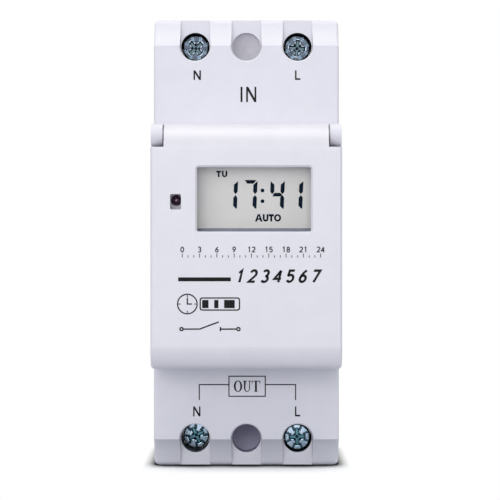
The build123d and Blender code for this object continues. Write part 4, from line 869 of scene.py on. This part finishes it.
def serif_word_out(x, z, width, height):
    """The word OUT with thick and thin strokes and short serifs."""
    thin = 0.12
    thick = 0.23
    foot = 0.07
    gap = 0.07
    under = 1 - foot
    big_o = [ellipse(0.5, 0.5, 0.5, 0.52), ellipse(0.5, 0.5, 0.5 - thick, 0.52 - foot)]
    outer = arc(0.5, 0.34, 0.36, 0.36, 180, 360)
    inner = arc(0.53, 0.34, 0.28 - thin / 2, 0.29, 360, 180)
    big_u = [
        [(0, 1), (0, under), (0.14, under)] + outer
        + [(0.86, under), (1, under), (1, 1), (0.66, 1), (0.66, under), (0.77, under)]
        + inner + [(0.36, under), (0.5, under), (0.5, 1)]
    ]
    left_stem, right_stem = 0.5 - thick / 2, 0.5 + thick / 2
    big_t = [
        [
            (0.3, 0), (0.7, 0), (0.7, foot), (right_stem, foot), (right_stem, under),
            (0.9, under), (0.95, 0.72), (1, 0.72), (1, 1), (0, 1), (0, 0.72), (0.05, 0.72),
            (0.1, under), (left_stem, under), (left_stem, foot), (0.3, foot),
        ]
    ]
    cell = width / (3 + 2 * gap)
    layers = []
    for index, letter in enumerate((big_o, big_u, big_t)):
        left = x - width / 2 + index * (1 + gap) * cell
        layers.append(fitted(letter, left, z - height / 2, cell, height))
    return layers


# Display: where its digits stand by their right edges, and how they are drawn
DIGITS = (("1", -1.79), ("7", 1.91), ("4", 7.09), ("1", 10.61))
DIGIT_SEGMENTS = {"1": "bc", "4": "fgbc", "7": "abc"}
DIGIT_FOOT = 6.27
DIGIT_WIDTH = 2.70
DIGIT_HEIGHT = 5.54
DIGIT_LEAN = 2.5
SEGMENT_THICK = 0.76
SEGMENT_GAP = 0.12
COLON_X = 3.07
COLON_HEIGHTS = (9.82, 7.79)
COLON_RADIUS = 0.36


def segment_outlines(width, height, thick, gap):
    """The segments that the digits use, in a box whose lower left corner is the origin."""
    middle = height / 2
    half = thick / 2
    tip = middle + gap * 0.7
    shoulder = middle + half + gap * 1.5
    slope = height - thick * 0.9
    flat = half * 0.9
    upper = [
        (width, height - gap * 1.7), (width, shoulder), (width - half, tip),
        (width - thick, shoulder), (width - thick, slope - gap * 1.7),
    ]
    lower = [(x, height - z) for x, z in upper[1:4]]
    lower += [(width - thick, thick * 0.9), (width - half * 0.6, gap), (width, gap)]
    top = [
        (gap * 1.8, height), (width - gap * 1.8, height), (width - thick, slope), (thick, slope),
    ]
    centre = [
        (half * 1.15, middle - flat), (thick, middle + flat), (width - thick, middle + flat),
        (width - half * 1.15, middle - flat * 0.2), (width - half * 1.5, middle - flat),
    ]
    upper_left = [(width - x, z) for x, z in upper]
    return {"a": top, "b": upper, "c": lower, "f": upper_left, "g": centre}


def digit_layers():
    """The lit segments of the display's digits, with the colon between them."""
    segments = segment_outlines(DIGIT_WIDTH, DIGIT_HEIGHT, SEGMENT_THICK, SEGMENT_GAP)
    layers = []
    for digit, right in DIGITS:
        for letter in DIGIT_SEGMENTS[digit]:
            outline = slanted(segments[letter], 0.0, DIGIT_LEAN)
            layers.append(fitted([outline], right - DIGIT_WIDTH, DIGIT_FOOT, 1, 1))
    for z in COLON_HEIGHTS:
        layers.append([ellipse(COLON_X, z, COLON_RADIUS, COLON_RADIUS)])
    return layers


# Numerals drawn with a pen: the centre lines of each in a unit box
NUMERALS = {
    "0": [arc(0.5, 0.5, 0.42, 0.46, 90, 450, 24)],
    "1": [[(0.22, 0.76), (0.56, 0.97), (0.56, 0.0)]],
    "2": [arc(0.5, 0.70, 0.40, 0.27, 160, -35) + [(0.08, 0.05), (0.94, 0.05)]],
    "3": [arc(0.46, 0.735, 0.36, 0.23, 150, -90), arc(0.46, 0.27, 0.42, 0.235, 90, -150)],
    "4": [[(0.72, 0.0), (0.72, 0.95)], [(0.72, 0.95), (0.06, 0.28), (0.98, 0.28)]],
    "5": [[(0.88, 0.95), (0.2, 0.95), (0.14, 0.48)], arc(0.48, 0.32, 0.42, 0.28, 145, -150, 16)],
    "6": [
        [(0.80, 0.97), (0.50, 0.80), (0.24, 0.55), (0.11, 0.31)],
        arc(0.5, 0.29, 0.39, 0.255, 180, 540, 24),
    ],
    "7": [[(0.04, 0.95), (0.94, 0.95), (0.36, 0.0)]],
    "8": [arc(0.5, 0.74, 0.33, 0.22, -90, 270, 20), arc(0.5, 0.27, 0.41, 0.235, 90, 450, 22)],
    "9": [
        [(0.20, 0.03), (0.50, 0.20), (0.76, 0.45), (0.89, 0.69)],
        arc(0.5, 0.71, 0.39, 0.255, 0, 360, 24),
    ],
}
MITRE_LIMIT = 0.45


def pen_outlines(path, width):
    """The edge of a run drawn with a pen of that width: two outlines if the run is closed."""
    closed = math.dist(path[0], path[-1]) < 1e-6
    points = [Vector(point) for point in (path[:-1] if closed else path)]
    last = len(points) - 1
    left = []
    right = []
    for index, point in enumerate(points):
        came = point - points[index - 1]
        goes = points[(index + 1) % len(points)] - point
        if not closed and index == 0:
            came = goes
        if not closed and index == last:
            goes = came
        came.normalize()
        goes.normalize()
        ahead = (came + goes).normalized()
        normal = Vector((-ahead.y, ahead.x))
        mitre = max(MITRE_LIMIT, abs(normal.dot(Vector((-came.y, came.x)))))
        edge = normal * width / 2 / mitre
        left.append(tuple(point + edge))
        right.append(tuple(point - edge))
    return [left, right] if closed else [left + right[::-1]]


def numeral_layers(text, x, z, width, height, pen, lean=0.0, gap=0.32):
    """Numerals side by side, centred on x and z, each width wide."""
    left = x - (len(text) + (len(text) - 1) * gap) * width / 2
    layers = []
    for character in text:
        for run in fitted(NUMERALS[character], left, z - height / 2, width, height):
            layers.append([slanted(outline, z, lean) for outline in pen_outlines(run, pen)])
        left += width * (1 + gap)
    return layers


# Terminal letters on the shoulders: piece, text, centre in X and Z, width, height, stroke, gap
SHOULDER_WORDS = (
    ("mark_in_n", "N", -9.57, 32.55, 1.44, 1.85, 0.30, 0.0),
    ("mark_in_l", "L", 9.98, 32.55, 1.05, 1.85, 0.30, 0.0),
    ("mark_in", "IN", 0.39, 28.80, 3.07, 2.98, 0.34, 0.3),
    ("mark_out_n", "N", -9.65, -32.88, 1.40, 1.95, 0.26, 0.0),
    ("mark_out_l", "L", 9.96, -32.88, 1.02, 1.95, 0.27, 0.0),
)


def output_sign():
    """The boxed word OUT, with a line from either side of the box down to a terminal letter."""
    line = 0.21
    x, z, width, height = 0.14, -27.98, 7.28, 4.11
    wire_z = -27.66
    drop_z = -30.66
    box = [box_outline(x, z, width, height), box_outline(x, z, width - 2 * line, height - 2 * line)]
    layers = [box] + serif_word_out(0.11, -27.97, 5.12, 2.14)
    for start, end in ((x - width / 2, -9.17), (x + width / 2, 9.57)):
        low_x, high_x = sorted((start, end))
        layers.append([rectangle(low_x, wire_z - line / 2, high_x, wire_z + line / 2)])
        layers.append([rectangle(end - line / 2, drop_z, end + line / 2, wire_z + line / 2)])
    return layers


def hour_scale():
    """A day scale: a tick for each hour, and the hour over every third."""
    first_x, last_x = -12.0, 13.95
    tick_foot, long_tick, short_tick, tick_width = -2.88, 0.75, 0.42, 0.14
    number_z, number_width, number_height, pen = -1.38, 0.62, 1.0, 0.19
    layers = []
    for hour in range(25):
        x = first_x + (last_x - first_x) * hour / 24
        tick = short_tick if hour % 3 else long_tick
        layers.append([bar((x, tick_foot), (x, tick_foot + tick), tick_width)])
        if hour % 3 == 0:
            layers += numeral_layers(str(hour), x, number_z, number_width, number_height, pen)
    return layers


def weekday_numbers():
    """The days of the week as numbers, heavy and leaning."""
    first_x, spacing, z = -1.1, 2.36, -6.37
    layers = []
    for day in range(7):
        x = first_x + day * spacing
        layers += numeral_layers(str(day + 1), x, z, width=1.35, height=2.3, pen=0.46, lean=14.0)
    return layers


def clock_sign(x, z, radius, line=0.24):
    """A clock face with hands and four ticks."""
    layers = [ring_outlines(x, z, radius, line)]
    for quarter in range(4):
        angle = quarter * math.pi / 2
        ends = [
            (x + radius * share * math.cos(angle), z + radius * share * math.sin(angle))
            for share in (0.66, 0.84)
        ]
        layers.append([bar(*ends, line * 0.8)])
    layers.append([bar((x, z - 0.1), (x, z + radius * 0.6), line)])
    layers.append([bar((x - 0.1, z), (x + radius * 0.45, z), line)])
    return layers


def program_bar(x, z, width, height, line=0.24):
    """A day drawn as a bar, with the switched-on hours filled."""
    inside = pill(x, z, width - 2 * line, height - 2 * line, radius=0.3)
    layers = [[pill(x, z, width, height, radius=0.5), inside]]
    inner_width, inner_height = width - 4 * line, height - 4 * line
    for start, end in ((0.0, 0.18), (0.34, 0.46), (0.62, 0.92)):
        middle = x + inner_width * ((start + end) / 2 - 0.5)
        layers.append([box_outline(middle, z, inner_width * (end - start), inner_height)])
    return layers


def switch_sign(x, z, width, line=0.26):
    """The sign of a make contact between two terminals."""
    left, right = x - width / 2, x + width / 2
    ring = 0.42
    gap_left, gap_right = x - width * 0.17, x + width * 0.17
    layers = [
        [bar((left + 2 * ring, z), (gap_left, z), line)],
        [bar((gap_right, z), (right - 2 * ring, z), line)],
        [bar((gap_left, z), (gap_right - 0.3, z + 1.35), line)],
        [bar((gap_right, z - 0.4), (gap_right, z + 0.4), line)],
    ]
    for centre in (left + ring, right - ring):
        layers.append(ring_outlines(centre, z, ring, line))
    return layers


def print_all():
    """Everything printed on the shoulders and the cover, and what the display shows."""
    sign_row_z = -11.6
    for name, *letters in SHOULDER_WORDS:
        print_on(name, word(*letters), SHOULDER_Y, "case")
    print_on("mark_out", output_sign(), SHOULDER_Y, "case")
    cover_pieces = {
        "cover_hour_scale": hour_scale(),
        "cover_stripe": [[rectangle(-12.77, -7.34, -2.9, -6.60)]],
        "cover_weekdays": weekday_numbers(),
        "cover_clock_sign": clock_sign(x=-11.05, z=sign_row_z, radius=1.95),
        "cover_program_bar": program_bar(x=-4.95, z=sign_row_z, width=7.6, height=2.5),
        "cover_switch_sign": switch_sign(x=-6.8, z=-16.3, width=11.5),
    }
    for name, layers in cover_pieces.items():
        print_on(name, layers, COVER_Y, "cover")
    display_pieces = {
        "display_time": digit_layers(),
        "display_day": word("TU", -4.66, 12.96, 2.08, 1.20, 0.32, 0.12),
        "display_mode": word("AUTO", 4.12, 4.63, 4.96, 1.40, 0.36, 0.03),
    }
    for name, layers in display_pieces.items():
        print_on(name, layers, POLARISER_Y, "case", DISPLAY_INK)


# Floor, world and lamps


def seen_directly(tree):
    """One for what the camera, a reflection or clear glass sees, else nought."""
    path = add_node(tree, "ShaderNodeLightPath").outputs
    either = calc(tree, "MAXIMUM", path["Is Camera Ray"], path["Is Glossy Ray"])
    return calc(tree, "MAXIMUM", either, path["Is Transmission Ray"])


def mix_shaders(tree, share, first, second, output):
    """Send one shader to the output where share is nought, the other where it is one."""
    feeds = {0: share, 1: first.outputs[0], 2: second.outputs[0]}
    mix = add_node(tree, "ShaderNodeMixShader", feeds)
    tree.links.new(mix.outputs[0], output.inputs["Surface"])


def make_world():
    """A pale sky that lights the device, plain white where it is seen directly."""
    world = bpy.data.worlds.new("studio")
    bpy.context.scene.world = world
    world.use_nodes = True
    tree = world.node_tree
    sky = tree.nodes["Background"]
    sky.inputs["Color"].default_value = (0.88, 0.95, 1.0, 1.0)
    sky.inputs["Strength"].default_value = 0.60
    white = add_node(tree, "ShaderNodeBackground", {"Color": WHITE, "Strength": 1.0})
    mix_shaders(tree, seen_directly(tree), sky, white, tree.nodes["World Output"])


def away_from_device(tree, half_size):
    """Nought under the device, rising to one at the shadow's reach round its footprint."""
    beside = vector_calc(tree, "ABSOLUTE", object_place(tree))
    beside = vector_calc(tree, "SUBTRACT", beside, half_size)
    outside = vector_calc(tree, "MAXIMUM", beside, (0.0, 0.0, 0.0))
    share = vector_calc(tree, "DIVIDE", outside, (*SHADOW_REACH, 1.0))
    distance = add_node(tree, "ShaderNodeVectorMath", {0: share}, operation="LENGTH")
    return ramp(tree, distance.outputs["Value"], 0.0, 1.0)


def floor_material(half_size):
    """A pale floor with the device's shadow and a contact shadow painted from ambient occlusion,
    plain white further out.
    """
    material = bpy.data.materials.new("floor_white")
    material.use_nodes = True
    tree = material.node_tree
    shader = tree.nodes["Principled BSDF"]
    shader.inputs["Roughness"].default_value = 0.9
    shader.inputs["Specular IOR Level"].default_value = 0.0
    seen = seen_directly(tree)
    # Contact shadow painted into the floor's colour and glow from ambient occlusion
    contact = add_node(tree, "ShaderNodeAmbientOcclusion", {"Distance": CONTACT_REACH}, samples=16)
    open_share = ramp(tree, contact.outputs["AO"], *CONTACT_SPAN, low=CONTACT_DARKEST)
    bright = blend(tree, open_share, BLACK, WHITE)
    tone = blend(tree, seen, FLOOR_GREY, bright)
    tree.links.new(tone, shader.inputs["Base Color"])
    tree.links.new(bright, shader.inputs["Emission Color"])
    tree.links.new(calc(tree, "MULTIPLY", seen, FLOOR_GLOW), shader.inputs["Emission Strength"])
    share = calc(tree, "MULTIPLY", away_from_device(tree, half_size), seen)
    white = add_node(tree, "ShaderNodeEmission", {"Strength": 1.0})
    mix_shaders(tree, share, shader, white, tree.nodes["Material Output"])
    return material


def make_floor():
    """The floor under the device, centred on its footprint."""
    shape = bmesh.new()
    bmesh.ops.create_grid(shape, x_segments=2, y_segments=2, size=FLOOR_HALF)
    mesh = bpy.data.meshes.new("floor")
    shape.to_mesh(mesh)
    shape.free()
    middle_y = SHOULDER_Y / 2 * MM
    mesh.materials.append(floor_material((cad_high.x, -middle_y, 0.0)))
    floor = bpy.data.objects.new("floor", mesh)
    floor.location = (0.0, middle_y, cad_low.z)
    bpy.context.scene.collection.objects.link(floor)


# Lamps, in metres: name, place, what they point at, size, watts and colour
DEVICE = (0.0, -0.05, 0.0)
WARM = (1.0, 0.96, 0.90)
PLAIN = (1.0, 1.0, 1.0)
LAMPS = (
    ("overhead_lamp", (-0.08, -0.16, 0.95), DEVICE, (0.8, 0.5), 4.8, WARM),
    ("left_lamp", (-0.36, -1.2, 0.38), DEVICE, (0.8, 0.8), 2.1, PLAIN),
    ("front_lamp", (-0.1, -1.3, 0.02), DEVICE, (0.8, 0.8), 7.2, PLAIN),
    ("rear_lamp", (0.5, 1.1, 0.5), (0.0, 0.0, 0.0), (0.8, 0.8), 4.5, PLAIN),
)


def make_lamp(name, place, aim, size, watts, colour):
    """A rectangular lamp that points from its place at its aim."""
    data = bpy.data.lights.new(name, "AREA")
    data.shape = "RECTANGLE"
    data.size, data.size_y = size
    data.energy = watts
    data.color = colour
    lamp = bpy.data.objects.new(name, data)
    lamp.location = place
    lamp.rotation_euler = (Vector(aim) - Vector(place)).to_track_quat("-Z", "Y").to_euler()
    bpy.context.scene.collection.objects.link(lamp)


for terminal in TERMINALS:
    clamp_screw(terminal)
clip_spring()
print_all()
make_world()
make_floor()
for lamp_settings in LAMPS:
    make_lamp(*lamp_settings)
